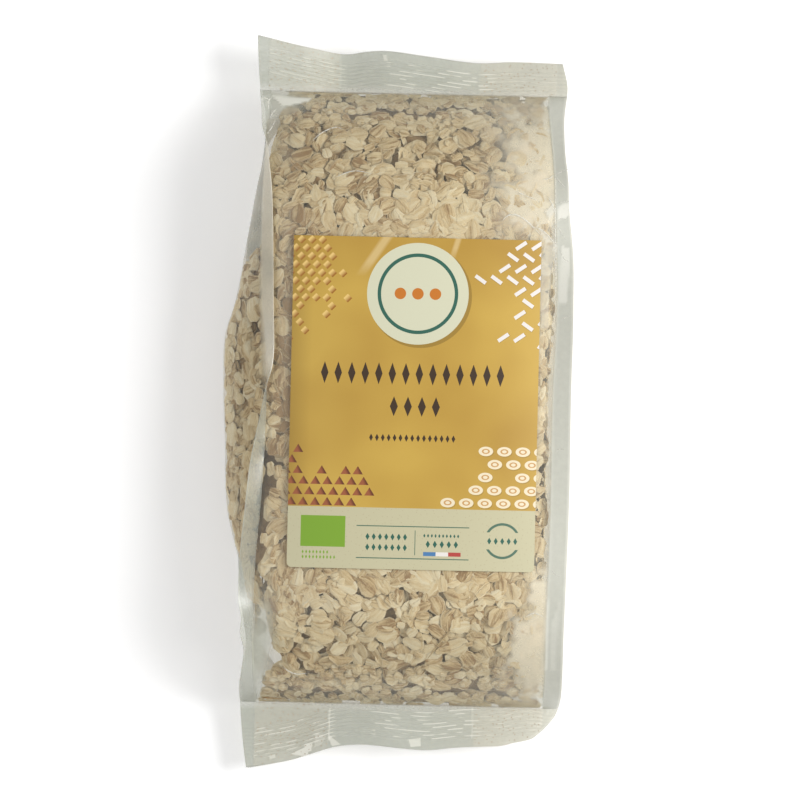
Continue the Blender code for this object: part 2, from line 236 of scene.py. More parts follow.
def gridFaces(rows, columns, wrap=False):  # quads of a grid of points, facing up for rows along +Y
    i, j = np.meshgrid(np.arange(rows - 1), np.arange(columns if wrap else columns - 1), indexing="ij")
    a, b = i * columns + j, i * columns + (j + 1) % columns
    return np.stack([a, b, b + columns, a + columns], axis=-1).reshape(-1, 4)


def tubeFaces(rings, around, first=0):  # a closed tube whose rings turn anticlockwise
    last = first + (rings - 1) * around
    faces = (gridFaces(rings, around, wrap=True)[:, ::-1] + first).tolist()
    return faces + [tuple(range(first, first + around)), tuple(range(last + around - 1, last - 1, -1))]


def closedSheet(x, y, over, under):  # points and faces of a sheet with two faces and a wall round its edge
    count = x.size
    grid, upper = np.arange(count).reshape(x.shape), gridFaces(*x.shape)
    rim = np.concatenate([grid[0, :-1], grid[:-1, -1], grid[-1, :0:-1], grid[:0:-1, 0]])
    after = np.roll(rim, -1)
    wall = np.stack([rim, rim + count, after + count, after], axis=-1)
    points = np.concatenate([pointRows(x, y, over), pointRows(x, y, under)])
    return points, np.concatenate([upper, upper[:, ::-1] + count, wall])


# Shader maths: Wire wraps a socket, and each operator adds a Math node.
class Wire:
    def __init__(self, paint, socket):
        self.paint = paint
        self.socket = socket

    def maths(self, operation, *others, clamp=False):
        inputs = {i: value for i, value in enumerate((self, *others))}
        return self.paint.add("ShaderNodeMath", {"operation": operation, "use_clamp": clamp}, inputs)

    def __add__(self, other):
        return self.maths("ADD", other)

    def __sub__(self, other):
        return self.maths("SUBTRACT", other)

    def __rsub__(self, other):
        return (self * -1.0).maths("ADD", other)

    def __mul__(self, other):
        return self.maths("MULTIPLY", other)

    def __truediv__(self, other):
        return self.maths("DIVIDE", other)

    def __lt__(self, other):
        return self.maths("LESS_THAN", other)

    def __gt__(self, other):
        return self.maths("GREATER_THAN", other)

    __radd__ = __add__
    __rmul__ = __mul__

    def size(self):
        return self.maths("ABSOLUTE")


class Paint:  # one material's node tree
    def __init__(self, name):
        self.material = bpy.data.materials.new(name)
        self.material.use_nodes = True
        self.tree = self.material.node_tree
        self.tree.nodes.clear()

    def add(self, kind, settings=None, inputs=None, output=0):
        node = self.tree.nodes.new(kind)
        for name, value in (settings or {}).items():
            if name == "stops":
                while len(node.color_ramp.elements) < len(value):
                    node.color_ramp.elements.new(0.5)
                for element, (place, tint) in zip(node.color_ramp.elements, value):
                    element.position = place
                    element.color = tint
            else:
                setattr(node, name, value)
        for name, value in (inputs or {}).items():
            if isinstance(value, Wire):
                self.tree.links.new(value.socket, node.inputs[name])
            else:
                node.inputs[name].default_value = value
        return Wire(self, node.outputs[output])

    def place(self):  # Object coordinates in millimetres
        spot = self.add("ShaderNodeTexCoord", output="Object")
        return self.add("ShaderNodeVectorMath", {"operation": "SCALE"}, {0: spot, "Scale": 1000.0})

    def split(self, vector):
        node = self.tree.nodes.new("ShaderNodeSeparateXYZ")
        self.tree.links.new(vector.socket, node.inputs[0])
        return [Wire(self, out) for out in node.outputs]

    def vector(self, operation, first, second):
        return self.add("ShaderNodeVectorMath", {"operation": operation}, {0: first, 1: second})

    def noise(self, vector, scale, detail=2.0, rough=0.5):
        return self.add("ShaderNodeTexNoise", {}, {"Vector": vector, "Scale": scale, "Detail": detail,
                                                   "Roughness": rough})

    def attribute(self, name, output="Fac"):
        return self.add("ShaderNodeAttribute", {"attribute_name": name}, output=output)

    def between(self, value, low, high):  # 0 at low, 1 at high
        return ((value - low) / (high - low)).maths("ADD", 0.0, clamp=True)

    def bump(self, strength, distance, height):
        return self.add("ShaderNodeBump", {}, {"Strength": strength, "Distance": distance, "Height": height})

    def surface(self, tint, roughness, more=None):
        inputs = {"Base Color": tint, "Roughness": roughness, **(more or {})}
        return self.add("ShaderNodeBsdfPrincipled", {}, inputs)

    def onClear(self, cover, shader, clear=(1.0, 1.0, 1.0, 1.0)):  # covers a clear sheet in part
        bare = self.add("ShaderNodeBsdfTransparent", {}, {"Color": clear})
        return self.add("ShaderNodeMixShader", {}, {0: cover, 1: bare, 2: shader})

    def mix(self, factor, first, second):
        return self.add("ShaderNodeMix", {"data_type": "RGBA"}, {0: factor, 6: first, 7: second}, 2)

    def finish(self, shader):
        out = self.tree.nodes.new("ShaderNodeOutputMaterial")
        self.tree.links.new(shader.socket, out.inputs["Surface"])
        return self.material


def colour(red, green, blue):  # sRGB 0 to 255 to linear, for a socket
    linear = [c / 12.92 if c <= 0.04045 else ((c + 0.055) / 1.055) ** 2.4
              for c in (red / 255, green / 255, blue / 255)]
    return (*linear, 1.0)


# Film over oats, flaps and fins: a clear sheet whose veil of haze and flour varies over it, and which is
# whitened in places by painted highlights and painted light.
filmLook = {
    "clear": (0.975, 0.975, 0.965, 1.0),  # what the bare film lets through
    "haze": colour(188, 191, 177),
    "flour": colour(249, 237, 212),
    # painted highlight colour, for creases, edges and facets that catch the light
    "bright": colour(240, 238, 226),  # creases that catch the light
    "speck": colour(150, 122, 84),
    "speckTint": 0.6,
    "speckCover": 0.35,
    "gloss": 0.025,
    "grazingGloss": 0.3,
    "most": 0.97,  # of the film's cover
}


def filmMaterial():
    look, paint = filmLook, Paint("clear_film")
    spot = paint.place()
    veil, flour, bright = [paint.attribute(name) for name in ("veil", "flour", "bright")]
    grain, fine = paint.noise(spot, 0.30, 3.0, 0.6), paint.noise(spot, 1.7, 3.0, 0.65)
    # cover = veil x (0.76 + 0.48 grain) + flour x (0.45 + 0.75 fine) + 0.8 painted light + 0.35 specks
    cover = veil * (0.76 + grain * 0.48) + flour * (0.45 + fine * 0.75) + bright * 0.8
    speckle = paint.add("ShaderNodeTexVoronoi", {"voronoi_dimensions": "2D"},
                        {"Vector": spot, "Scale": 0.55, "Randomness": 1.0}, "Distance")
    dots = (speckle < 0.16) * (paint.noise(spot, 0.8, 1.0) > 0.5) * paint.attribute("specks")
    tint = paint.mix((flour * 1.6).maths("MINIMUM", 1.0), look["haze"], look["flour"])
    tint = paint.mix(bright.maths("MINIMUM", 1.0), tint, look["bright"])
    tint = paint.mix(dots * look["speckTint"], tint, look["speck"])
    bump = paint.bump(0.15, 0.0004, grain)
    cover = (cover + dots * look["speckCover"]).maths("MINIMUM", look["most"])
    film = paint.onClear(cover, paint.surface(tint, 0.42, {"Normal": bump}), look["clear"])
    # it shines more at a grazing angle, and less sharply where it is hazy
    shine = paint.add("ShaderNodeBsdfGlossy", {}, {"Color": (1, 1, 1, 1), "Roughness": 0.2 + veil * 0.6,
                                                   "Normal": bump})
    grazing = paint.add("ShaderNodeLayerWeight", {}, {"Blend": 0.25}, "Fresnel")
    gloss = grazing * look["grazingGloss"] + look["gloss"]
    return paint.finish(paint.add("ShaderNodeMixShader", {}, {0: gloss, 1: film, 2: shine}))


filmShape = {
    "fin": 0.25,  # thickness
    "frontSteps": 150,
    "sideSteps": 26,
    "finSteps": 6,
    "bodyRows": 250,
    "crowding": 0.18,  # of the rows at the ends
    "flapColumns": 260,
    "flapRows": 96,
    "wrinkle": 0.22,
    "ribDepth": 0.2,
    "ribPitch": 1.5,
    "plainEdge": 3.0,  # width of the plain strip along the cut edge
    "pinking": 0.3,  # depth of the cut edge's teeth
    "flapWarp": 0.2,
    "thinning": 0.4,  # of the flap towards its cut edge
    "layer": (0.08, 0.1),  # how much the gusset's layers add over and under the flap
    "finEdges": (-56.6, 58.2),  # where the flaps' layers end and the fins begin
}


def filmRelief(x, y):  # soft unevenness of the film, of two sizes, fading out on the flaps
    rough = 0.6 * softNoise(x, y, 9.0, 11) + 0.4 * softNoise(x, y, 4.2, 12)
    return filmShape["wrinkle"] * rough * swellOf("front", y)


def frontFin(y, side):  # turn and width of a front fin at y
    return sideCurve(side, "FinTurn", y), sideCurve(side, "FinWidth", y)


def bodyRing(y):  # one cross-section a row, from the left seam over the front and round the bag
    left, right = seams(y)
    t = np.linspace(0.0, 1.0, filmShape["frontSteps"] + 1)[None, :]
    x = left[:, None] + (right - left)[:, None] * t
    rows = y[:, None] + 0 * x
    front = frontZ(x, rows) + filmRelief(x, rows) * (1 - acrossBag(x, rows) ** 6)
    back, backX = backZ(x, rows)[:, ::-1], x[:, ::-1]
    rightFin = finStrip(x[:, -1], front[:, -1], *frontFin(y, 1), 1, 1)
    leftFin = finStrip(x[:, 0], front[:, 0], *frontFin(y, -1), -1, 1)
    rightBack = finStrip(backX[:, 0], back[:, 0], 0 * y, sideCurve(1, "BackFinWidth", y), 1, -1)
    leftBack = finStrip(backX[:, -1], back[:, -1], 0 * y, sideCurve(-1, "BackFinWidth", y), -1, -1)
    leftFin, rightBack = [[a[:, ::-1] for a in fin] for fin in (leftFin, rightBack)]
    rightSide = sidePanel([a[:, -1] for a in rightFin], [a[:, 0] for a in rightBack], y, 1)
    leftSide = sidePanel([a[:, -1] for a in leftBack], [a[:, 0] for a in leftFin], y, -1)
    parts = [(x[:, :-1], front[:, :-1]), rightFin, rightSide, rightBack, (backX[:, 1:-1], back[:, 1:-1]),
             leftBack, leftSide, [a[:, :-1] for a in leftFin]]
    ringX, ringZ = [np.hstack([part[k] for part in parts]) for k in (0, 1)]
    return ringX, ringZ, np.repeat(np.arange(len(parts)), [part[0].shape[1] for part in parts])


# numbers of the ring's parts, in that order
ringPart = {name: k for k, name in enumerate(
    ("front", "rightFin", "right", "rightBack", "back", "leftBack", "left", "leftFin"))}


def capFaces(first, flip):  # closes an end ring: quads from front to back, fans at the sides
    columns, sideSteps, finSteps = [filmShape[name] for name in ("frontSteps", "sideSteps", "finSteps")]
    fin = 2 * (finSteps + 1)
    backEnd = 2 * columns + 2 * fin + sideSteps - 2
    count = backEnd + 2 * fin + sideSteps - 2
    faces = [(i, backEnd - i, backEnd - i - 1, i + 1) for i in range(columns)]
    for start in (columns, columns + fin - 1 + sideSteps, backEnd, backEnd + fin - 1 + sideSteps):
        end = start + fin - 1
        faces += [(start + i, end - i, end - i - 1, start + i + 1) for i in range(finSteps)]
    for start in (columns + fin - 1, backEnd + fin - 1):
        top, low, middle = start - (fin - 1), start + sideSteps + fin - 1, sideSteps // 2
        faces += [(top, start + i + 1, start + i) for i in range(middle)]
        faces.append((top, low, start + middle))
        faces += [(low, start + i + 1, start + i) for i in range(middle, sideSteps)]
    faces = [tuple(first + i % count for i in face) for face in faces]
    return [face[::-1] for face in faces] if flip else faces


def setFilm(piece, *maps):
    for name, values in zip(("veil", "flour", "bright", "specks"), maps):
        setAttribute(piece, name, values)


def makeFilm(material):
    s, crowding = bagShape, filmShape["crowding"]
    even = np.linspace(-1.0, 1.0, filmShape["bodyRows"] + 1)
    eased = (1 - crowding) * even + crowding * np.sin(even * math.pi / 2)
    y = (s["topRoot"] + s["bottomRoot"]) / 2 + (s["topRoot"] - s["bottomRoot"]) / 2 * eased
    x, z, kinds = bodyRing(y)
    x, rows, z = bendFlaps(x, y[:, None] + 0 * x, z)
    faces = gridFaces(*x.shape, wrap=True).tolist()
    faces += capFaces(0, False) + capFaces(x.size - x.shape[1], True)
    piece = meshFrom("film_body", pointRows(x, rows, z) + toRow, faces, material)
    setFilm(piece, *veilMaps(x, rows, np.broadcast_to(kinds, x.shape)))
    return piece


# Places of flour and haze on the front: centre, half sizes, turn in degrees, strength
flourPatches = [(46, 88, 15, 44, 0, 0.5), (55, 20, 6, 62, 0, 0.2), (54, -95, 9, 28, 0, 0.5),
                (38, 110, 15, 14, 0, 0.3), (45, -112, 15, 10, 0, 0.3), (-50, 100, 6, 18, 0, 0.2),
                (-48, 60, 5, 60, 0, 0.12)]
hazePatches = [(-55.5, -98, 4.8, 17, -8, 0.72), (-51, 118, 9, 5, 0, 0.25)]
# Painted reflections: film facets that mirror the light, as strength and corners, anticlockwise
frontGlare = [
    (0.42, (54.9, 63.9), (52.9, 50.9), (57.9, 50.8), (59.9, 63.1)),
    (0.3, (52.9, 50.9), (54.2, 30.0), (57.0, 30.0), (57.9, 50.8)),
    (0.6, (54.6, 76.4), (56.6, 73.4), (58.8, 76.6), (58.3, 80.2)),
    (0.5, (51.5, 71.4), (55.3, 64.0), (59.8, 63.4)),
    (0.6, (60.4, 79.2), (60.1, 73.4), (63.9, 74.8), (64.9, 80.1)),
    (0.5, (61.0, 68.6), (65.0, 70.8), (61.9, 65.0)),
    (0.35, (61.5, 63.0), (61.6, 40.0), (64.6, 40.0), (65.0, 62.0)),
    (0.75, (-55.4, 120.7), (-50.7, 116.5), (-48.3, 117.0), (-40.7, 118.6), (-39.0, 120.3)),
    (0.2, (57.6, -106.8), (60.2, -106.8), (60.4, -84.0), (58.7, -72.0)),
    (0.12, (60.9, -106.8), (63.4, -106.8), (64.2, -79.0), (61.2, -88.0)),
]
flapGlare = [
    (0.85, (-42.0, -143.0), (-35.6, -144.0), (-34.9, -142.4), (-36.5, -140.3)),
    (0.85, (-36.3, -138.9), (-36.9, -142.4), (-33.9, -141.6), (-33.4, -138.5)),
    (0.35, (-32.2, -134.1), (-32.8, -140.2), (-29.7, -138.9), (-27.9, -135.4)),
    (0.7, (-27.0, -136.2), (-25.6, -139.5), (-22.0, -138.7), (-26.6, -135.1)),
    (0.5, (-50.9, -144.0), (-50.1, -145.3), (-47.9, -144.6), (-48.3, -143.2)),
    (0.6, (4.9, -135.9), (6.0, -139.1), (10.1, -138.6), (9.8, -135.4)),
    (0.5, (-11.6, 138.4), (-10.9, 135.6), (-9.3, 135.8), (-9.8, 138.2)),
]


def patchSum(patches, x, y, hard):  # flat-topped ovals: strength x exp(-r^(2 hard)), the strongest wins
    total = 0 * x
    for centreX, centreY, halfX, halfY, turn, strength in patches:
        c, s = math.cos(math.radians(turn)), math.sin(math.radians(turn))
        u, v = (x - centreX) * c + (y - centreY) * s, (y - centreY) * c - (x - centreX) * s
        total = np.maximum(total, strength * np.exp(-((u / halfX) ** 2 + (v / halfY) ** 2) ** hard))
    return total


def facetSum(facets, x, y):  # inside all edges of a facet, with a soft margin of 0.25 mm
    total = 0 * x
    for strength, *corners in facets:
        inside = 1 + 0 * x
        for (x0, y0), (x1, y1) in zip(corners, corners[1:] + corners[:1]):
            away = ((x1 - x0) * (y - y0) - (y1 - y0) * (x - x0)) / math.hypot(x1 - x0, y1 - y0)
            inside = np.minimum(inside, smoothStep(away / 0.5 + 0.5))
        total = np.maximum(total, strength * inside)
    return total


def flourAt(x, y):  # clouds of flour on the front's inside
    uneven = 0.5 * softNoise(x, y, 6.0, 62) + 0.3 * softNoise(x, y, 2.6, 63)
    return patchSum(flourPatches, x, y, 1.1) * (1 + uneven)


# How hazy and floury the parts of the film are, and how much painted light and painted highlight they carry,
# each from 0 to 1
filmLevels = {
    "panels": 0.07,
    "frontEnds": 0.22,  # added towards the flaps
    "left": 0.10,
    "upperLeft": 0.14,  # added where the left side is empty
    "right": 0.2,
    "leftFin": 0.28,
    "rightFin": 0.42,
    "backFins": 0.34,
    "thinFlour": 0.05,
    "cloudFlour": 0.7,
    "upperLeftFlour": 0.06,
    "leftFinFlour": 0.4,
    # painted light that makes the right fin lighter
    "rightFinPaintedLight": 0.48,
    # the two tips are painted highlights
    "leftTip": 0.15,  # the fins' free edges
    "rightTip": 0.3,
    "specks": 0.12,
}
# The same for the flaps: haze, what the layers, the unevenness, the ribs' valleys and the right side change
# in it, and its share at the root; then flour of the layers, painted light on the right side as flour and as
# whitening, and painted highlights on the ribs, more in the middle. The right side's thinner haze is part of
# its painted light
flapLevels = {
    "haze": 0.58,
    "layers": -0.04,
    "uneven": 0.03,
    "valleys": -0.07,
    "right": -0.04,
    "atRoot": 0.45,
    "layerFlour": 0.10,
    "rightWarmPaintedLight": 0.14,
    "rightPaintedLight": 0.28,
    "ribs": 0.2,
    "middleRibs": 0.75,
}


def veilMaps(x, y, kinds):  # haze, flour, bright and specks at each point of the film
    front, rightFin, right, rightBack, back, leftBack, left, leftFin = [
        (kinds == number) * 1.0 for number in ringPart.values()]
    tip = np.zeros(kinds.shape[1])  # the front fins' free edges
    for name in ("leftFin", "rightFin"):
        tip[np.flatnonzero(kinds[0] == ringPart[name])[filmShape["finSteps"]:][:2]] = 1.0
    level = filmLevels
    upper = smoothStep((y - 50) / 18)  # the left side is empty and hazy towards the top
    folded = smoothStep((y - 4) / 10) * smoothStep((106 - y) / 8)
    patchy = 0.85 + 0.3 * softNoise(x, y, 13.0, 61)
    ends = (1 - swellOf("front", y)) ** 2
    veil = level["panels"] * patchy * (front + back) + level["backFins"] * (leftBack + rightBack)
    veil = veil + level["rightFin"] * rightFin + level["leftFin"] * leftFin + level["right"] * right
    veil = veil + left * (level["left"] + level["upperLeft"] * upper) + level["frontEnds"] * front * ends
    veil = veil + patchSum(hazePatches, x, y, 1.3) * front
    flour = front * (level["thinFlour"] + level["cloudFlour"] * flourAt(x, y))
    flour = flour + level["upperLeftFlour"] * left * upper + level["leftFinFlour"] * leftFin * folded * patchy
    # painted reflections of the glare facets, painted light on the right fin, painted highlights on the fins'
    # free edges
    bright = facetSum(frontGlare, x, y) * (front + rightFin) + level["rightFinPaintedLight"] * rightFin
    bright = bright + tip * (level["leftTip"] * leftFin + level["rightTip"] * rightFin)
    return veil, np.clip(flour, 0, 1), np.clip(bright, 0, 1), level["specks"] + 0 * x


def bellAt(x, middle, width):
    return np.exp(-((x - middle) / width) ** 2)


# What differs between the two flaps: where the ribs end, counted from the cut edge, where the gussets'
# inner folds lie, and how strong the painted highlights are on the ribs at the left, the fringe and the step
# beside the left fold
flapKinds = {
    "top": {"ribBand": 14.6, "folds": (-28.1, 27.6), "atLeft": 0.35, "fringe": 0.4, "step": 0.15},
    "bottom": {"ribBand": 16.2, "folds": (-26.8, 30.5), "atLeft": 0.75, "fringe": 0.8, "step": 0.6},
}


def makeFlap(side, material):  # a sheet from fin tip to fin tip, ribbed across, with a pinked edge
    s, f, kind = bagShape, filmShape, flapKinds[side]
    root, end = s[side + "Root"], s[side + "End"]
    v = np.linspace(0.0, 1.0, f["flapRows"] + 1)[:, None]
    u = np.linspace(0.0, 1.0, f["flapColumns"] + 1)[None, :]
    y = root + (end - root) * v + 0 * u
    low, high = [seam[:, None] for seam in seams(y[:, 0])]
    leftReach, rightReach = [(width * np.cos(np.radians(turn)))[:, None] for turn, width in (
        frontFin(y[:, 0], -1), frontFin(y[:, 0], 1))]
    low, high = low - leftReach, high + rightReach
    x = low + (high - low) * u
    edge = alongCurve(s[side + "Edge"], x)
    fromRoot = np.abs(y + v * (edge - end) - root)
    fromEdge = np.abs(edge - root) - fromRoot
    # ribs parallel to the cut edge: half a cosine's height, faded out at both sides of their band
    band = smoothStep((fromEdge - f["plainEdge"]) / 0.5) * smoothStep((kind["ribBand"] - fromEdge) / 0.5)
    ribs = 0.5 + 0.5 * np.cos(2 * math.pi * (fromEdge - f["plainEdge"]) / f["ribPitch"])
    foldLeft, foldRight = kind["folds"]
    atLeft, atRight = smoothStep((foldLeft - x) / 0.7), smoothStep((x - foldRight) / 0.7)
    finLeft, finRight = f["finEdges"]
    fins = smoothStep((finLeft - x) / 0.5) + smoothStep((x - finRight) / 0.5)
    layered = np.clip(atLeft + atRight - fins, 0, 1)
    uneven = softNoise(x, y, 12.0, 21)
    lift = f["ribDepth"] * (ribs - 0.5) * band * (1 - fins) * (0.8 + 0.5 * uneven)
    lift = lift + f["flapWarp"] * softNoise(x, y, 15.0, 22) * v + f["layer"][0] * layered
    teeth = 1 - 2 * (np.arange(f["flapColumns"] + 1) % 2)[None, :]
    y = y + np.sign(end) * f["pinking"] * teeth * (v > 0.999)
    half = s["skin"] / 2 * (1 - f["thinning"] * v)
    bentX, bentY, over = bendFlaps(x, y, flapZ(x, y) + lift + half)
    under = over - 2 * half - f["layer"][1] * layered
    points, faces = closedSheet(bentX, bentY, over, under)
    faces = faces if side == "top" else faces[:, ::-1]
    piece = meshFrom(f"film_{side}_flap", points + toRow, faces, material)
    # painted highlights: dashes of light on the ribs, a fringe beside the left fold, and the folds' bright
    # steps, joined by the painted reflections of the glare facets
    row = np.round((fromEdge - f["plainEdge"]) / f["ribPitch"])
    dash = smoothStep(softNoise(x, 17.3 * row, 3.2, 23) * 1.8 + 0.35)
    middle, right = smoothStep((x + 11) / 3) * smoothStep((36 - x) / 8), smoothStep((x - 5) / 60)
    level = flapLevels
    glint = level["ribs"] + level["middleRibs"] * middle + kind["atLeft"] * atLeft
    glint = glint * dash * ribs ** 8 * band * (1 - fins)
    fringe = bellAt(x, foldLeft + 1.0, 1.3) * ribs ** 5 * band * kind["fringe"]
    step = (bellAt(x, foldLeft, 0.35) + 0.5 * bellAt(x, foldRight, 0.35)) * band * kind["step"]
    veil = level["haze"] + level["layers"] * layered + level["uneven"] * uneven
    veil = veil + level["valleys"] * band * (1 - ribs) + level["right"] * right
    veil = veil * (level["atRoot"] + (1 - level["atRoot"]) * smoothStep(fromRoot / 4.0))
    # painted light: the right side is lighter through added flour and added whitening, besides its thinner
    # haze
    flour = level["layerFlour"] * layered * (1 + 0.5 * uneven) + level["rightWarmPaintedLight"] * right
    bright = glint + fringe + step + facetSum(flapGlare, bentX, bentY) + level["rightPaintedLight"] * right
    specks = 0.25 + 0.75 * layered
    setFilm(piece, *[np.tile(values.ravel(), 2) for values in (veil, flour, bright, specks)])
    return piece


# The row's origin is under the middle of the solid's box. This shift takes the bag's own
# millimetres there: the film's widest places are the box's sides, and its two left corners the ends.
def shiftToRow():
    low, high = np.array(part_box("bag")) / mm
    x = bodyRing(np.linspace(bagShape["bottomRoot"], bagShape["topRoot"], 400))[0]
    edges = (bagShape["topEdge"], bagShape["bottomEdge"])
    top, bottom = [alongCurve(edge, at) for edge, at in zip(edges, bagShape["leftCorners"])]
    return np.array([(low[0] + high[0]) / 2 - (x.min() + x.max()) / 2,
                     (low[1] + high[1]) / 2 - (top + bottom) / 2, 0.0])


toRow = shiftToRow()
print("bag shape placed, moved by", np.round(toRow, 2), "mm")

film = filmMaterial()
filmBody = makeFilm(film)
flaps = [makeFlap(side, film) for side in flapKinds]
print("film made")

# Oats. Each panel of the bag is a height field that looks outwards, and flakes are dropped on it
# one by one until they reach the film.
oatSpread = {
    "seed": 4117,
    "cell": 0.5,  # of the height fields
    "depth": 4.1,  # how far under the film the heap beneath lies
    "gap": 0.3,  # between film and flakes
    "round": 5.0,  # the heap's rounding at the bag's long edges
    "length": (9.0, 1.3),  # mean and spread
    "lengthRange": (5.4, 11.6),
    "wide": (0.58, 0.84),  # share of the length
    "thick": 0.5,
    "brokenShare": 0.28,
    "brokenLength": (0.4, 0.75),  # share of the whole flake's length
    "leastCells": 6,  # under a flake
    "restsOn": 0.86,  # it rests higher than this share of what is under it
    "steepShare": (0.1, 0.55),  # share of flakes on edge, between and within the stacks
    "lean": (0.9, 1.9),  # slope of the ones on edge
    "mostSlope": 0.6,
    "wobble": 0.12,
    "endPush": 1.5,
    "flank": (0.8, 3.0),  # slopes of the heap from which flakes lie along it, and the steepest
    "shingle": (0.6, 0.25),  # slope of flakes over the slope of the flank, at the ends and on the bulge
    "bulge": (1.2, 0.9),  # how far within the bulge's film they stay, and the share of it that they fill
    "shelf": 3.0,  # how much deeper the loose flakes of the bulge lie
    # how far the oats stay from the left seam, where the film stands empty: place along Y, distance
    "emptyLeft": [(-123, 1.0), (-112, 1.4), (-108.5, 6.5), (-104.5, 10.5), (-101, 7.7), (-90, 4.6),
                  (-81, 3.0), (-70, 1.0), (-40, 0.6), (96, 0.6), (104, 2.0), (112, 4.0), (118, 5.0),
                  (123, 5.0)],
    "emptySide": (52.0, 12.0),  # the left side panel is empty from this place on, fully at this much more
    "emptyCorner": (-114.0, -80.0),  # and between these two, at the lower left
    "clear": 0.15,  # a flake is dropped where this much more than its own thickness is free
    "tries": 400,  # flakes tried before the free places are listed again
    "nowhere": -1e6,  # a limit where no flake may lie
}


def panelHeights(y, side):  # heights of a side panel's lower and upper edge
    seam = sideCurve(side, "Seam", y)
    return seam, backZ(seam, y), frontZ(seam, y)


def sideX(y, z, side):  # the side panel's place across, at height z
    seam, low, high = panelHeights(y, side)
    share = np.clip((z - low) / np.maximum(high - low, 0.1), 0.0, 1.0)
    return seam - side * foldDepth(sideCurve(side, "Fold", y), high - low, share)


def heapEdge(y, side):  # how far across the oats reach
    seam = sideCurve(side, "Seam", y)
    return seam - 0.6 if side > 0 else seam + alongCurve(oatSpread["emptyLeft"], y)


def emptyAt(y):  # 1 where the left side panel stands empty
    begins, more = oatSpread["emptySide"]
    return smoothStep((y - begins) / more)


def roundOff(distance, radius):  # how far a corner of this radius lies under its edge, at a distance from it
    near = np.clip(radius - distance, 0.0, radius)
    return radius - np.sqrt(radius * radius - near * near)


def bulging(y, side):  # 1 where a side panel bulges out well, 0 where it is flat or folded in
    return smoothStep(-sideCurve(side, "Fold", y) / 6 - 0.5)


def bulgeTop(x, y):  # height of the left side panel where it bulges out beyond the seam
    seam, low, high = panelHeights(y, -1)
    within, most = oatSpread["bulge"]
    share = (seam - x) / np.maximum(-sideCurve(-1, "Fold", y) - within, 0.01)
    reach = low + (1 + np.sqrt(np.clip(1 - share, 0.0, 1.0))) / 2 * (high - low)
    return np.where((share < most) & (y < oatSpread["emptySide"][0]), reach, oatSpread["nowhere"])


def frontLimit(x, y):  # highest that the oats reach, seen from the front
    o, left, right = oatSpread, heapEdge(y, -1), heapEdge(y, 1)
    radius = o["round"] * smoothStep(swellOf("front", y) * 1.5)
    sharper = 1 - 0.8 * bulging(y, -1) * (y < o["emptySide"][0])
    drop = roundOff(right - x, radius) + roundOff(x - left, radius * sharper)
    inside = (x > left) & (x < right) & (frontZ(x, y) - backZ(x, y) > 1.4)
    inside = inside & (y > bagShape["bottomRoot"] + 0.4) & (y < bagShape["topRoot"] - 0.4)
    reach = np.where(inside, frontZ(x, y) - o["gap"] - drop, o["nowhere"])
    return np.where(x < sideCurve(-1, "Seam", y), bulgeTop(x, y) - o["gap"], reach)


def backLimit(x, y):
    left, right = heapEdge(y, -1) + 0.5, heapEdge(y, 1) - 0.5
    drop = roundOff(right - x, 3.0) + roundOff(x - left, 3.0)
    inside = (x > left) & (x < right) & (np.abs(y) < 118)
    return np.where(inside, -(backZ(x, y) + oatSpread["gap"]) - drop, oatSpread["nowhere"])


def sideLimit(z, y, side):  # farthest out that the oats reach, seen from a side
    o = oatSpread
    _, low, high = panelHeights(y, side)
    low, high = low + 0.5, high - 0.8
    radius = np.minimum(o["round"], np.maximum(high - low, 0.1) * 0.45)
    reach = side * sideX(y, z, side) - o["gap"] - roundOff(np.minimum(z - low, high - z), radius)
    first, last = o["emptyCorner"]
    empty = emptyAt(y)
    empty = empty + smoothStep((y - first) / 2) * smoothStep((last - y) / 6)
    empty = 0.0 if side > 0 else empty
    reach = reach * (1 - empty) + np.minimum(reach, side * heapEdge(y, side) - 1.0) * empty
    upTo = high - 3.0 - 0.22 * (high - low) * bulging(y, side)  # the front covers the bulge
    return np.where((z > low + 2.5) & (z < upTo), reach, o["nowhere"])


# Each panel's limit as a function of its own two coordinates, the depth of loose flakes, how much they
# tilt up, the ranges of the two coordinates, and where the panel's three coordinates point
panels = {
    "front": (frontLimit, 3.8, 0.0, (-76, 61), (-123, 123), ((1, 0, 0), (0, 1, 0), (0, 0, 1))),
    "left": (lambda a, b: sideLimit(a, b, -1), 5.0, 0.9, (2, 44), (-116, 116),
             ((0, 0, 1), (0, 1, 0), (-1, 0, 0))),
    "right": (lambda a, b: sideLimit(-a, b, 1), 2.4, 0.0, (-44, -2), (-116, 116),
              ((0, 0, -1), (0, 1, 0), (1, 0, 0))),
    "back": (lambda a, b: backLimit(-a, b), 2.0, 0.0, (-60, 57), (-118, 118),
             ((-1, 0, 0), (0, 1, 0), (0, 0, -1))),
}


def underLabel(x, y):  # true where the label hides what is beneath
    return (x > -37) & (x < 45.5) & (y > -59) & (y < 56)


def restingPlane(da, db, under, most):  # the plane that fits the heights under a flake best
    fit = np.column_stack([da, db, np.ones(len(da))])
    slopeA, slopeB, _ = np.linalg.solve(fit.T @ fit + 1e-6 * np.eye(3), fit.T @ under)
    steep = max(math.hypot(slopeA, slopeB) / most, 1.0)
    return slopeA / steep, slopeB / steep


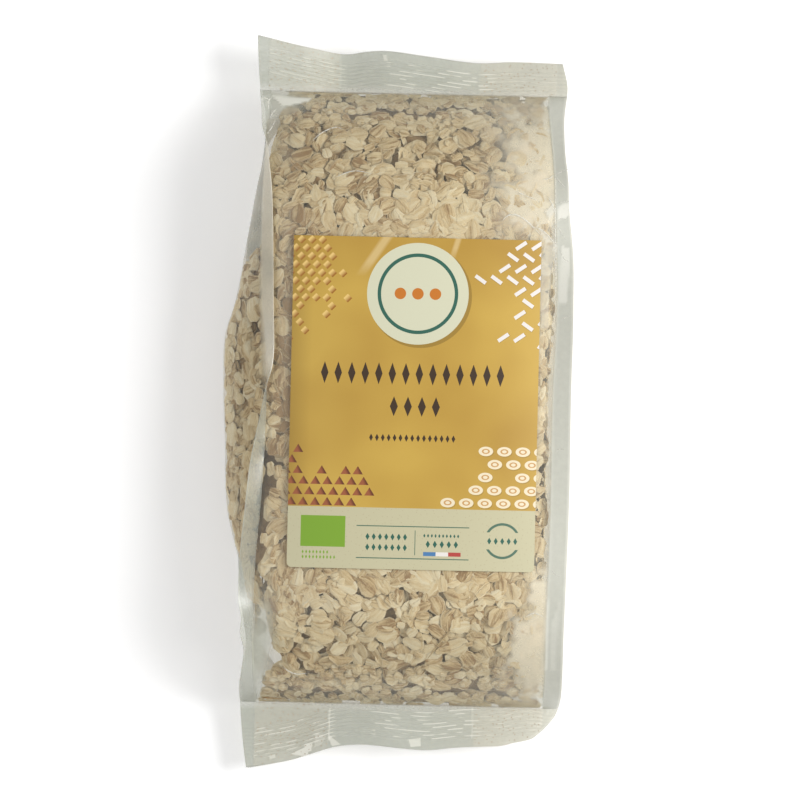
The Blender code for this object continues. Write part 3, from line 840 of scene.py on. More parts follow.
def layFlake(field, i, j, size, rng):  # drops one flake at a cell: its row of values, or None without room
    o = oatSpread
    a, b, height, top, fallA, fallB, shingle, tilt = field
    broken = rng.random() < o["brokenShare"]
    length = float(np.clip(rng.normal(*o["length"]), *o["lengthRange"]))
    length *= rng.uniform(*o["brokenLength"]) if broken else 1
    length *= size
    width = length * rng.uniform(*o["wide"])
    # flakes stand on edge in stacks, side by side and leaning the same way
    stack = float(softNoise(a[i], b[j], 15.0, 51))
    heading = math.pi * float(softNoise(a[i], b[j], 22.0, 52)) + rng.normal(0, 0.55 if stack > 0.1 else 1.6)
    onEdge = rng.random() < o["steepShare"][int(stack > 0.18)]
    lean = 0.0
    if onEdge:
        lean = rng.uniform(*o["lean"]) * (1 if softNoise(a[i], b[j], 18.0, 53) > 0 else -1)
    narrow, most = (2.0 if lean else 1.0), o["mostSlope"]
    fall = math.hypot(fallA[i, j], fallB[i, j])
    if fall > o["flank"][0]:  # on a steep flank it lies along the flank, and looks narrow from outside
        fall = max(min(fall, o["flank"][1]) * shingle[i, j], o["mostSlope"])
        heading = math.atan2(fallB[i, j], fallA[i, j]) + math.pi / 2 + rng.normal(0, 0.5 / shingle[i, j])
        narrow, most, lean = math.sqrt(1 + fall * fall), fall, 0.0
    if tilt:
        heading, narrow, lean = math.pi / 2 + rng.normal(0, 0.7), 1.35, 0.0
    reach = int(length / 2 / o["cell"]) + 1
    near = (slice(max(i - reach, 0), i + reach + 1), slice(max(j - reach, 0), j + reach + 1))
    da, db = a[near[0], None] - a[i], b[None, near[1]] - b[j]
    ahead = da * math.cos(heading) + db * math.sin(heading)
    aside = (db * math.cos(heading) - da * math.sin(heading)) * narrow
    inside = (2 * ahead / length) ** 2 + (2 * aside / width) ** 2 < 1.0
    under, ceiling = height[near][inside], top[near][inside]
    if len(under) < o["leastCells"]:
        return None
    da, db = (da + 0 * db)[inside], (db + 0 * ahead)[inside]
    slopeA, slopeB = restingPlane(da, db, under, most)
    slopeA += rng.normal(0, o["wobble"]) - math.sin(heading) * lean - tilt * rng.uniform(0.7, 1.3)
    slopeB += rng.normal(0, o["wobble"]) + math.cos(heading) * lean
    # one that would touch the film lies flatter, and may press into the heap a little
    flattest = 0.8 if most > o["mostSlope"] else 0.6 if tilt else 0.15
    for flatter, give in ((1.0, 0.0), (max(0.5, flattest), 0.3), (flattest, 0.6)):
        surface = (da * slopeA + db * slopeB) * flatter
        rest = np.sort(under - surface)[int(o["restsOn"] * (len(under) - 1))]
        excess = float((surface + rest + o["thick"] - ceiling).max())
        if excess < give + 1e-9:
            rest -= max(excess, 0.0)
            height[near][inside] = np.maximum(under, surface + rest + o["thick"])
            return (a[i], b[j], rest + o["thick"] / 2, slopeA * flatter, slopeB * flatter,
                    heading, length, width, float(broken))
    return None


def dropFlakes(panel, rng):  # drops flakes on a panel's height field until none has room
    limit, depth, tilt, (a0, a1), (b0, b1), _ = panels[panel]
    o = oatSpread
    a, b = np.arange(a0, a1, o["cell"]), np.arange(b0, b1, o["cell"])
    gridA, gridB = a[:, None] + 0 * b, b + 0 * a[:, None]
    top = limit(gridA, gridB)
    bulge = (panel == "front") & (gridA < sideCurve(-1, "Seam", gridB))
    height = top - depth - o["shelf"] * bulge + 0.7 * softNoise(gridA, gridB, 5.0, 31)
    shingle = np.where(bulge, o["shingle"][1], o["shingle"][0])
    shut = top < o["nowhere"] / 2
    fallA, fallB = np.gradient(top, o["cell"])
    if panel == "front":
        shut |= underLabel(gridA, gridB)
    rows = []
    while True:
        free = np.flatnonzero((top - height > o["thick"] + o["clear"]) & ~shut)
        if len(free) == 0:
            return np.array(rows)
        for cell in rng.permutation(free)[:o["tries"]]:
            i, j = divmod(int(cell), len(b))
            if shut[i, j] or top[i, j] - height[i, j] < o["thick"] + o["clear"]:
                continue
            for size in (1.0, 0.6) if abs(b[j]) > 106 else (1.0,):  # at the ends a small one may have room
                row = layFlake((a, b, height, top, fallA, fallB, shingle, tilt), i, j, size, rng)
                if row is not None:
                    break
            if row is None:
                shut[max(i - 2, 0):i + 3, max(j - 2, 0):j + 3] = True
            else:
                rows.append(row)


rng = np.random.default_rng(oatSpread["seed"])
dropped = {}
for panel in panels:
    dropped[panel] = dropFlakes(panel, rng)
    print("flakes on the", panel, "side:", len(dropped[panel]))


flakeShape = {
    "sections": (-0.84, -0.52, -0.17, 0.19, 0.54, 0.85),  # along half the length
    "lines": (-1.0, -0.72, 0.0, 0.72, 1.0),  # across half the width
    "sectionShift": 0.05,  # these three: most that sections, lines and tips are off their places
    "lineShift": 0.03,
    "tipShift": 0.1,
    "outline": 2.3,
    "blunt": (0.25, 0.6),  # power of the outline, broken and whole
    "lopsided": 0.28,
    "skew": 0.14,
    "ragged": 0.14,
    "edgeWave": 0.22,
    "cup": 0.4,
    "bend": 0.6,
    "twist": 0.3,
    "profile": (0.0, 1.0, 0.8, 1.0, 0.0),  # thickness at the lines
    "thinning": 0.25,  # towards the tips
    "notched": 0.25,  # share of tips that are split
    "notchAt": 0.78,  # share of half the length
    "tipAt": (0.94, 1.0),
    "tipLift": (-0.1, 0.15),
    "mostHeight": 0.45,  # over the flake's middle
}
sectionCount = len(flakeShape["sections"])
upperCount, flakeCount = sectionCount * 5, sectionCount * 8 + 2


def flakePoints(length, width, broken, rng):
    # A flake is six sections between two tips. Half width follows (1 - |p|^outline)^blunt, uneven on both
    # sides; it is flat with a thin rim, and cupped, bent and twisted as a whole.
    n, shape = len(length), flakeShape

    def upTo(name, size):  # random numbers up to this one, either way
        return rng.uniform(-shape[name], shape[name], size)

    p = np.array(shape["sections"])[None, :, None] + upTo("sectionShift", (n, sectionCount, 1))
    q = np.array(shape["lines"])[None, None, :] + 0 * p
    blunt = np.where(broken, *shape["blunt"])[:, None, None]
    half = (1 - np.abs(p) ** shape["outline"]) ** blunt * (1 + upTo("lopsided", (n, 1, 1)) * p)
    ragged = 1 + shape["ragged"] * rng.uniform(-1, 1, (n, sectionCount, 2))
    half = half * np.where(q < 0, ragged[:, :, :1], ragged[:, :, 1:])
    across = (half * q + upTo("skew", (n, 1, 1)) * (1 - p * p)) * width[:, None, None] / 2
    ahead = (p + 0 * q + upTo("lineShift", p.shape[:2] + (5,))) * length[:, None, None] / 2
    warp = shape["edgeWave"] * rng.uniform(-1, 1, (n, sectionCount, 5)) * np.abs(q) ** 2
    for name, least, form in (("cup", -0.5, q * q), ("bend", -0.4, p * p), ("twist", -1.0, p * q)):
        warp += shape[name] * rng.uniform(least, 1.0, (n, 1, 1)) * form
    thick = oatSpread["thick"] * np.array(shape["profile"])[None, None, :] * (1 - shape["thinning"] * p * p)
    upper = np.stack([ahead, across, warp + thick / 2], -1)
    lower = np.stack([ahead, across, warp - thick / 2], -1)[:, :, 1:4]
    tips = np.zeros((n, 2, 3))
    notched = rng.random((n, 2)) < shape["notched"]
    reach = np.where(notched, shape["notchAt"], rng.uniform(*shape["tipAt"], (n, 2)))
    tips[:, :, 0] = np.array([-0.5, 0.5]) * reach * length[:, None]
    tips[:, :, 1] = upTo("tipShift", (n, 2)) * width[:, None]
    tips[:, :, 2] = warp[:, (0, -1), 2] + rng.uniform(*shape["tipLift"], (n, 2))
    points = np.concatenate([upper.reshape(n, -1, 3), lower.reshape(n, -1, 3), tips], axis=1)
    points[..., 2] -= points[..., 2].mean(axis=1, keepdims=True)
    # each corner's mark: its place along and across the flake, and 1 on the lower face
    marked = np.stack([p + 0 * q, q, 0 * q], -1)
    markedLower = marked[:, :, 1:4] + [0, 0, 1]
    ends = np.broadcast_to([[-1.0, 0, 0], [1.0, 0, 0]], (n, 2, 3))
    marks = np.concatenate([marked.reshape(n, -1, 3), markedLower.reshape(n, -1, 3), ends], axis=1)
    return points, marks


def flakeFaces():  # faces of one flake: upper and lower quads, and triangles round the tips
    def upperPoint(section, line):
        return section * 5 + line

    def lowerPoint(section, line):
        inner = upperCount + section * 3 + line - 1
        return upperPoint(section, line) if line in (0, 4) else inner

    quads, triangles = [], []
    last, tipA, tipB = sectionCount - 1, flakeCount - 2, flakeCount - 1
    for k in range(4):
        for s in range(last):
            upper, lower = [[point(s, k), point(s + 1, k), point(s + 1, k + 1), point(s, k + 1)]
                            for point in (upperPoint, lowerPoint)]
            quads += [upper, lower[:1] + lower[:0:-1]]
        triangles += [[tipA, upperPoint(0, k), upperPoint(0, k + 1)],
                      [tipA, lowerPoint(0, k + 1), lowerPoint(0, k)],
                      [tipB, upperPoint(last, k + 1), upperPoint(last, k)],
                      [tipB, lowerPoint(last, k), lowerPoint(last, k + 1)]]
    return np.array(quads), np.array(triangles)


def keepInside(points):  # presses the corners of flakes that would reach through the film back under it
    x, y, z = points[..., 0], points[..., 1], points[..., 2]
    y = np.clip(y, bagShape["bottomRoot"] + 0.3, bagShape["topRoot"] - 0.3)
    high = frontZ(x, y) + filmRelief(x, y) - 0.2
    z = np.clip(z, np.minimum(backZ(x, y) + 0.2, high), high)
    x = np.clip(x, sideX(y, z, -1) + 0.25, sideX(y, z, 1) - 0.25)
    return np.stack([x, y, z], axis=-1)


def placeFlakes(rows, axes, rng):  # turns flat flakes to their heading and slope, and sets them on the panel
    n = len(rows)
    local, marks = flakePoints(rows[:, 6], rows[:, 7], rows[:, 8] > 0.5, rng)
    flip = rng.random(n) < 0.5
    local[flip, :, 1:] *= -1  # half of them lie the other way up: a half turn about their length
    tallest = local[..., 2].max(axis=1, keepdims=True)
    local[..., 2] -= np.maximum(tallest - flakeShape["mostHeight"], 0.0)
    normal = np.stack([-rows[:, 3], -rows[:, 4], np.ones(n)], axis=-1)
    normal /= np.linalg.norm(normal, axis=1)[:, None]
    ahead = np.stack([np.cos(rows[:, 5]), np.sin(rows[:, 5]), np.zeros(n)], axis=-1)
    ahead -= (ahead * normal).sum(1)[:, None] * normal
    ahead /= np.linalg.norm(ahead, axis=1)[:, None]
    own = (ahead, np.cross(normal, ahead), normal)
    turned = sum(local[..., k:k + 1] * own[k][:, None] for k in range(3)) + rows[:, None, 0:3]
    placed = turned @ np.array(axes, dtype=float)
    along = placed[..., 1].mean(axis=1)
    # pushed up against the seals
    push = oatSpread["endPush"] * smoothStep((np.abs(along) - 113) / 6) * np.sign(along)
    placed[..., 1] += push[:, None]
    return keepInside(placed), marks


oatLook = {
    "rim": colour(247, 234, 201),
    "cream": colour(238, 218, 175),
    "tan": colour(219, 193, 146),
    "brown": colour(168, 134, 90),
}


def oatMaterial():
    look, paint = oatLook, Paint("oat_flake")
    marks, tone = paint.attribute("marks", "Vector"), paint.attribute("tone")
    p, q, _ = paint.split(marks)
    shift = paint.add("ShaderNodeCombineXYZ", {}, {0: tone * 37.0, 1: tone * 91.0, 2: tone * 13.0})

    def ownNoise(size, scale, detail):  # noise in a flake's own directions, other for each flake
        spot = paint.vector("MULTIPLY", marks, size)
        return paint.noise(paint.vector("ADD", spot, shift), scale, detail, 0.6)

    bands, fibres = ownNoise((0.5, 2.0, 1.0), 1.0, 1.0), ownNoise((1.0, 8.0, 1.0), 1.2, 3.0)
    blotch = ownNoise((1.2, 1.2, 1.0), 1.3, 2.0)
    crumb = paint.noise(paint.place(), 1.6, 4.0, 0.7)
    # lightness = 0.75 tone and painted shade + 1.4 bands + 0.8 fibres + 0.3 blotch + 0.4 crumb - 1.35, from 0
    # to 1
    lightness = tone * 0.75 + bands * 1.4 + fibres * 0.8 + blotch * 0.3 + crumb * 0.4 - 1.35
    stops = [(0.0, look["brown"]), (0.25, look["tan"]), (0.6, look["cream"]), (1.0, look["rim"])]
    body = paint.add("ShaderNodeValToRGB", {"stops": stops}, {0: lightness.maths("ADD", 0.0, clamp=True)})
    # the crease shows on two flakes of five, thin and off the middle
    offLine = (q + (blotch - 0.5) * 0.5 + (bands - 0.5) * 0.6).size()
    creased = (tone * 7.0).maths("FRACT") > 0.6
    crease = (1.0 - paint.between(offLine, 0.01, 0.08)) * creased * paint.between(p.size(), 0.95, 0.6)
    body = paint.mix(crease * 0.45, body, look["brown"])
    body = paint.mix(paint.between(q.size(), 0.75, 1.0) * 0.4, body, look["rim"])
    bump = paint.bump(0.6, 0.0004, fibres * 0.7 + bands * 0.8 + crumb * 0.5 - crease * 0.7)
    return paint.finish(paint.surface(body, 0.75, {"Normal": bump, "Specular IOR Level": 0.2}))


# Painted shade on flakes, which are darker beside the left fold and in the upper left
paintedShadePatches = [(-45, 25, 7, 75, 0, 0.6), (-35, 100, 30, 22, 0, 0.08)]


def joinFlakes(name, points, marks, material, rng):  # one mesh of many flakes
    n = len(points)
    offsets = (np.arange(n) * flakeCount)[:, None, None]
    faces = []
    for single in flakeFaces():
        faces += (single[None] + offsets).reshape(-1, single.shape[1]).tolist()
    piece = meshFrom(name, points.reshape(-1, 3) + toRow, faces, material)
    setAttribute(piece, "marks", marks.reshape(-1, 3), "FLOAT_VECTOR")
    middle = points.mean(axis=1)
    # a random tone for each flake, less the painted shade of the patches above
    tone = rng.random(n) - patchSum(paintedShadePatches, middle[:, 0], middle[:, 1], 1.2)
    setAttribute(piece, "tone", np.repeat(tone, flakeCount))
    return piece


oats = oatMaterial()
placed = [placeFlakes(rows, panels[panel][5], rng) for panel, rows in dropped.items()]
allPoints, allMarks = [np.concatenate([both[k] for both in placed]) for k in (0, 1)]
allBroken = np.concatenate([rows[:, 8] > 0.5 for rows in dropped.values()])
print("flakes in all", len(allPoints))
oatPieces = []
for kind, chosen in {"oat_flakes": ~allBroken, "oat_flakes_broken": allBroken}.items():
    chosen = np.flatnonzero(chosen)
    share = math.ceil(len(chosen) / 2000)  # meshes of at most 2000 flakes each
    for k in range(share):
        some = chosen[k::share]
        oatPieces.append(joinFlakes(f"{kind}_{k + 1}", allPoints[some], allMarks[some], oats, rng))


def coreMaterial():
    paint = Paint("oats_beneath")
    blotch = paint.noise(paint.place(), 0.22, 3.0, 0.6)
    # the oats beneath, in browns darker than the flakes': painted shade where they show in the gaps between
    # flakes
    tint = paint.mix(paint.between(blotch, 0.35, 0.65), colour(146, 116, 78), colour(184, 154, 110))
    return paint.finish(paint.surface(tint, 0.85, {"Normal": paint.bump(0.8, 0.001, blotch)}))


coreShape = {"rings": 120, "around": 96, "fromRoot": 1.6, "squareness": 0.5}


def makeCore():  # the oats beneath the loose ones: the bag's sections drawn in by a few millimetres
    c = coreShape
    angle = np.linspace(0, 2 * math.pi, c["around"], endpoint=False)[None, :]
    first, last = bagShape["bottomRoot"] + c["fromRoot"], bagShape["topRoot"] - c["fromRoot"]
    y = np.linspace(first, last, c["rings"])[:, None] + 0 * angle
    middleX = (heapEdge(y, -1) + sideCurve(1, "Seam", y)) / 2
    # a squarish ring: each coordinate is the root of a circle's
    ringU, ringV = [np.sign(a) * np.abs(a) ** c["squareness"] for a in (np.cos(angle), np.sin(angle))]
    low, high = backZ(middleX, y), frontZ(middleX, y)
    inset = np.minimum(oatSpread["depth"], (high - low) * 0.4)
    z = (high + low) / 2 + ringV * ((high - low) / 2 - inset)
    # at the left it keeps to the heap's edge where the film stands empty
    empty, heap = emptyAt(y), heapEdge(y, -1)
    leftX = sideX(y, z, -1)
    leftX = leftX * (1 - empty) + np.maximum(leftX, heap) * empty
    leftX = np.where(alongCurve(oatSpread["emptyLeft"], y) > 1.0, np.maximum(leftX, heap), leftX)
    halfX = np.where(ringU < 0, middleX - leftX, sideX(y, z, 1) - middleX) - inset
    x = middleX + ringU * halfX
    z = z + np.where(ringV > 0, frontZ(x, y) - high, 0.0) * np.abs(ringV)
    faces = tubeFaces(c["rings"], c["around"])
    return meshFrom("oat_core", pointRows(x, y, z) + toRow, faces, coreMaterial())


core = makeCore()
print("oats made")

# Label: a thin sheet on the front panel, with its printed fields
labelShape = {
    "low": (-45.2, -67.7),
    "high": (53.7, 64.9),
    "skin": 1.4,  # it lies on the panel as if the bag had this skin
    "lift": 0.62,  # its face over the panel
    "uneven": 0.05,
    "thick": 0.25,
    "corner": 1.9,  # radius of the two lower corners
    "cornerRows": 7,
    "columns": 90,
    "rows": 120,
}


def makeLabel(material):
    s = labelShape
    (left, bottom), (right, top) = s["low"], s["high"]
    wide, tall = (right - left) / 2, (top - bottom) / 2
    # rows crowd at the ends, where each lower one draws in by the corner's circle
    ends = tall - s["corner"] * (1 - np.sin(np.linspace(0.0, math.pi / 2, s["cornerRows"])))
    v = np.concatenate([-ends[::-1], np.linspace(-ends[0], ends[0], s["rows"])[1:-1], ends])[:, None]
    near = np.maximum(-v - ends[0], 0.0)
    reach = wide - s["corner"] + np.sqrt(np.maximum(s["corner"] ** 2 - near ** 2, 0.0))
    x = np.linspace(-1.0, 1.0, s["columns"] + 1)[None, :] * reach + (left + right) / 2
    y = v + 0 * x + (bottom + top) / 2
    z = frontZ(x, y, s["skin"]) + s["lift"] + s["uneven"] * softNoise(x, y, 13.0, 41)
    points, faces = closedSheet(x, y, z, z - s["thick"])
    return meshFrom("label_sheet", points + toRow, faces, material)


labelLook = {
    "field": colour(206, 169, 74),
    "fieldDeep": colour(186, 146, 58),
    "band": colour(202, 196, 161),
    "speckle": colour(170, 150, 112),
    "disc": colour(218, 217, 188),
    "shadow": colour(150, 118, 44),
    "green": colour(128, 170, 46),
    "teal": colour(46, 100, 84),
    "dark": colour(62, 44, 26),
    "orange": colour(204, 120, 34),
    "gold": (colour(240, 204, 124), colour(160, 100, 24)),  # lit side and shaded side
    "brown": (colour(160, 92, 56), colour(104, 54, 30)),
    "pale": (colour(242, 228, 196), colour(206, 158, 98)),
    "white": colour(238, 232, 226),
    "blue": colour(78, 128, 178),
    "red": colour(184, 70, 62),
    "glare": colour(244, 222, 170),
}
# Corner ornaments: corner, reach across and along, pitch across and along
ornaments = {
    "gold": ((-45.2, 64.9), (30, 46), (4.2, 3.3)),
    "white": ((53.7, 64.9), (34, 54), (6.4, 4.6)),
    "brown": ((-45.2, -43.2), (50, 27), (4.8, 4.2)),
    "pale": ((53.7, -43.2), (50, 34), (7.4, 5.2)),
}
# Rows of upright lozenges: left end, middle height, count, pitch, half width, half height
lozengeRows = {
    "dark": [(-34.4, 10.4, 14, 5.4, 1.5, 4.4), (-6.6, -2.6, 4, 5.6, 1.6, 4.0),
             (-13.8, -15.2, 15, 2.35, 0.75, 1.5)],
    "teal": [(-14.4, -54.8, 7, 2.5, 0.8, 1.4), (-14.4, -59.0, 7, 2.5, 0.8, 1.4),
             (8.8, -54.0, 10, 1.5, 0.45, 0.8), (9.6, -57.4, 5, 2.8, 0.85, 1.5),
             (34.2, -55.6, 5, 2.6, 0.8, 1.4)],
    "green": [(-39.6, -61.4, 8, 1.4, 0.4, 0.8), (-39.6, -63.4, 10, 1.4, 0.4, 0.8)],
}
# The rest of the print: boxes as left, right, low and high, circles as centre and radius
printed = {
    "bandTop": -43.2,
    "greenField": (-39.9, -22.1, -59.2, -46.8),
    "rules": [(-17.6, 27.4, -50.7, -50.3), (-17.6, 27.4, -63.5, -63.1), (5.7, 6.0, -61.9, -52.0)],
    "blocks": {"blue": 9.2, "white": 14.2, "red": 19.2},  # left edges
    "block": (5.0, -62.1, -60.5),  # width, low and high
    "arcs": (40.7, -55.5, 6.7),
    "arcGap": 3.4,
    "disc": (4.8, 42.5, 20.3),
    "discShadow": (5.8, 41.5, 20.6),
    "ring": 15.4,
    "dots": (-7.0, 0.0, 7.0),
    "dot": 2.3,
    # slanting streaks of light: lean, offset across, half width and lower end
    "streaks": [(0.664, 51.0, 2.6, 49.0), (0.3, -1.1, 1.5, 55.0)],
    "foldShade": (-37.0, -45.0),  # the left edge is in the fold's shade
}


def labelMaterial():
    paint, look, places = Paint("printed_paper"), labelLook, printed
    spot = paint.place()
    x, y, _ = paint.split(spot)
    x, y = x - float(toRow[0]), y - float(toRow[1])
    paper = paint.noise(spot, 0.8, 3.0, 0.6)

    def box(left, right, low, high):
        return (x > left) * (x < right) * (y > low) * (y < high)

    def away(centreX, centreY):
        return ((x - centreX) * (x - centreX) + (y - centreY) * (y - centreY)).maths("SQRT")

    def cells(name):  # staggered cells that thin out from a corner: place in the cell, side and presence
        (cornerX, cornerY), (reachX, reachY), (pitchX, pitchY) = ornaments[name]
        upward = (y - cornerY) / pitchY
        row = upward.maths("FLOOR")
        odd = (row * 0.5).maths("FRACT") * 2.0
        along = (x - cornerX) / pitchX + odd * 0.5 + 0.25
        middleX = (along.maths("FLOOR") + 0.25 - odd * 0.5) * pitchX
        middleY = (row + 0.5) * pitchY
        gone = ((middleX * middleX) / reachX ** 2 + (middleY * middleY) / reachY ** 2).maths("SQRT")
        cell = paint.add("ShaderNodeCombineXYZ", {}, {0: along.maths("FLOOR"), 1: row, 2: 3.0})
        chance = paint.add("ShaderNodeTexWhiteNoise", {"noise_dimensions": "3D"}, {"Vector": cell}, "Value")
        u, v = (along.maths("FRACT") - 0.5) * pitchX, upward.maths("FRACT") * pitchY - pitchY / 2
        return u, v, odd * 2.0 - 1.0, (chance * 0.6 + 0.34) > gone

    def bar(u, v):
        return (u.size() < 2.5) * (v.size() < 0.75)

    def oval(u, v):  # 1 at its edge
        return ((u * u) / 8.4 + (v * v) / 3.6).maths("SQRT")

    mottled = paint.between(paint.noise(spot, 0.02, 2.0), 0.35, 0.65)
    field = paint.mix(mottled, look["field"], look["fieldDeep"])
    field = paint.mix(paint.between(x, *places["foldShade"]) * 0.5, field, look["shadow"])
    # gold studs, white bars, brown triangles and pale ovals, in the four corners
    u, v, _, here = cells("gold")
    stud = paint.mix(paint.between(u - v, -1.0, 1.4), *look["gold"])
    field = paint.mix((u.size() + v.size() < 1.75) * here, field, stud)
    u, v, side, here = cells("white")
    along, across = u * 0.82 + v * side * 0.57, v * 0.82 - u * side * 0.57
    field = paint.mix(bar(along - 0.25, across + 0.3) * here * 0.5, field, look["shadow"])
    field = paint.mix(bar(along, across) * here, field, look["white"])
    u, v, _, here = cells("brown")
    wedge = paint.mix(paint.between(u + v * 0.4, -0.4, 0.8), *look["brown"])
    field = paint.mix((v > -1.6) * (u.size() * 1.6 + v < 1.7) * here, field, wedge)
    u, v, _, here = cells("pale")
    middle = oval(u, v)
    ringed = paint.mix((middle > 0.32) * (middle < 0.55), *look["pale"])
    field = paint.mix((oval(u - 0.3, v + 0.4) < 1.0) * here * 0.5, field, look["shadow"])
    field = paint.mix((middle < 1.0) * here, field, ringed)

    # cream band with a green field, thin rules, three blocks and two arcs
    speckle = paint.add("ShaderNodeTexVoronoi", {"voronoi_dimensions": "2D"}, {"Vector": spot, "Scale": 0.42},
                        "Distance")
    band = paint.mix((speckle < 0.07) * 0.45, look["band"], look["speckle"])
    band = paint.mix(box(*places["greenField"]), band, look["green"])
    arcX, arcY, arcRadius = places["arcs"]
    arcs = ((away(arcX, arcY) - arcRadius).size() < 0.5) * ((y - arcY).size() > places["arcGap"])
    rules = sum(box(*rule) for rule in places["rules"])
    band = paint.mix((rules + arcs).maths("MINIMUM", 0.9), band, look["teal"])
    wide, low, high = places["block"]
    for name, left in places["blocks"].items():
        band = paint.mix(box(left, left + wide, low, high), band, look[name])
    tint = paint.mix(y < places["bandTop"], field, band)

    # cream disc with its shadow, a ring and three dots, then the lozenges and the streaks of light
    discX, discY, discRadius = places["disc"]
    shadowX, shadowY, shadowRadius = places["discShadow"]
    tint = paint.mix((away(shadowX, shadowY) < shadowRadius) * 0.75, tint, look["shadow"])
    tint = paint.mix(away(discX, discY) < discRadius, tint, look["disc"])
    tint = paint.mix((away(discX, discY) - places["ring"]).size() < 0.7, tint, look["teal"])
    for shift in places["dots"]:
        tint = paint.mix(away(discX + shift, discY) < places["dot"], tint, look["orange"])
    for name, rows in lozengeRows.items():
        for left, height, count, pitch, halfWide, halfHigh in rows:
            u = (((x - left) / pitch).maths("FRACT") - 0.5) * pitch
            lozenge = u.size() / halfWide + (y - height).size() / halfHigh < 1.0
            within = box(left, left + count * pitch, height - halfHigh, height + halfHigh)
            tint = paint.mix(lozenge * within, tint, look[name])
    for lean, offset, halfWide, low in places["streaks"]:
        streak = paint.between((x - y * lean + offset).size(), halfWide, halfWide * 0.4)
        tint = paint.mix(streak * paint.between(y, low, low + 6) * 0.42, tint, look["glare"])
    bump = paint.bump(0.08, 0.0002, paper)
    return paint.finish(paint.surface(tint, 0.4 + paper * 0.14, {"Normal": bump}))


label = makeLabel(labelMaterial())
print("label made")

# Flour that clings under the film, a little lower, so that flakes that touch the film stick out of it
dust = {
    "across": (28.0, 59.0),
    "along": (-118.0, 119.0),
    "under": 0.6,  # how far under the film
    "steps": (60, 300),
    "most": 0.92,
    "patches": [(53, 95, 19, 38, 0, 1.0), (60, 10, 5, 80, 0, 0.2), (57, -97, 13, 29, 0, 1.05)],
    "tint": colour(252, 242, 218),
}


def dustMaterial():
    paint = Paint("flour_dust")
    cover = paint.attribute("cover") * (0.8 + paint.noise(paint.place(), 1.4, 3.0, 0.6) * 0.4)
    return paint.finish(paint.onClear(cover, paint.surface(dust["tint"], 0.9)))


def makeDust():  # a sheet parallel to the front panel, whose cover is clouds of noise over soft ovals
    columns, rows = dust["steps"]
    y = np.linspace(*dust["along"], rows + 1)[:, None] + np.zeros((1, columns + 1))
    x = np.minimum(np.linspace(*dust["across"], columns + 1)[None, :], sideCurve(1, "Seam", y) - 0.4)
    z = frontZ(x, y) + filmRelief(x, y) - dust["under"]
    cloud = patchSum(dust["patches"], x, y, 1.2)
    cloud = cloud + 0.34 * softNoise(x, y, 7.0, 64) + 0.2 * softNoise(x, y, 2.8, 65)
    piece = meshFrom("flour_dust", pointRows(x, y, z) + toRow, gridFaces(*x.shape), dustMaterial())
    setAttribute(piece, "cover", dust["most"] * smoothStep((cloud - 0.35) / 0.45))
    return piece


# Sharp creases of the film, low ridges whose whitish tint is a painted highlight: half width, then the places
# that each passes
creaseLines = [
    (0.30, (-59.0, 119.9), (-56.8, 118.7), (-56.9, 114.3)),
    (0.22, (-55.6, 119.7), (-56.8, 118.7), (-57.5, 117.1)),
    (0.26, (-55.4, 119.7), (-53.1, 118.4), (-50.9, 115.9)),
    (0.22, (-56.1, 111.0), (-55.0, 113.6), (-53.3, 115.4)),
    (0.24, (-57.0, 105.1), (-55.3, 107.6), (-53.7, 110.8)),
    (0.22, (-39.0, 102.6), (-35.2, 106.0), (-29.9, 108.4), (-26.4, 107.6)),
    (0.30, (58.2, 91.3), (61.1, 92.6), (64.1, 93.8)),
    (0.30, (58.2, 91.3), (60.4, 88.6), (62.9, 86.0)),
    (0.22, (53.6, 89.4), (56.0, 89.7), (58.2, 91.3)),
    (0.25, (42.7, 84.6), (46.9, 82.7), (51.5, 81.2)),
    (0.32, (37.5, 72.1), (39.9, 74.5), (42.9, 75.0), (46.3, 73.5), (49.9, 70.5), (53.7, 66.8)),
    (0.30, (49.9, 70.5), (54.5, 68.5), (59.2, 63.8)),
    (0.32, (59.4, 79.9), (61.8, 80.6), (64.6, 80.9)),
    (0.28, (59.2, 72.6), (61.5, 73.8), (63.6, 73.6)),
    (0.28, (55.7, 82.9), (57.4, 79.7), (59.1, 75.8)),
    (0.26, (59.6, 71.0), (61.3, 68.6), (63.3, 65.5)),
    (0.26, (61.0, 61.4), (62.7, 58.2), (64.7, 56.7)),
    (0.26, (61.7, 32.6), (63.6, 34.3), (65.6, 35.1)),
    (0.22, (60.9, -20.0), (62.8, -18.2), (65.0, -18.4)),
    (0.22, (60.3, -66.0), (62.4, -68.5), (64.6, -69.0)),
    (0.25, (50.0, -86.0), (54.0, -84.0), (58.0, -85.5)),
    (0.22, (-46.0, -108.0), (-41.0, -110.5), (-35.0, -110.0)),
    (0.20, (-30.0, 88.0), (-22.0, 91.0), (-14.0, 90.0)),
    (0.24, (58.6, 96.0), (58.9, 75.0), (59.6, 55.0), (60.0, 36.0)),
]
creaseShape = {
    "stations": 15,
    "height": 0.16,
    "foot": 0.04,  # how far it reaches into the film
    "tip": 0.03,  # share of its size left at the ends
    "steepest": 60.0,  # turn of the left fin that it follows, in degrees
    "tint": colour(244, 242, 232),
    "cover": 0.62,
}


def creaseZ(x, y):  # the film's height, carried on over the fins at their turn
    left, right = seams(y)
    leftTurn = np.minimum(sideCurve(-1, "FinTurn", y), creaseShape["steepest"])
    onFin = np.maximum(x - right, 0.0) * np.tan(np.radians(sideCurve(1, "FinTurn", y)))
    onFin = onFin + np.maximum(left - x, 0.0) * np.tan(np.radians(leftTurn))
    return frontZ(x, y) + filmRelief(x, y) * (1 - acrossBag(x, y) ** 6) + onFin


def creaseMaterial():
    paint = Paint("film_crease")
    # a broken whitish cover on the ridges: painted highlight
    broken = paint.between(paint.noise(paint.place(), 0.9, 2.0), 0.3, 0.55) * creaseShape["cover"]
    return paint.finish(paint.onClear(broken, paint.surface(creaseShape["tint"], 0.3)))


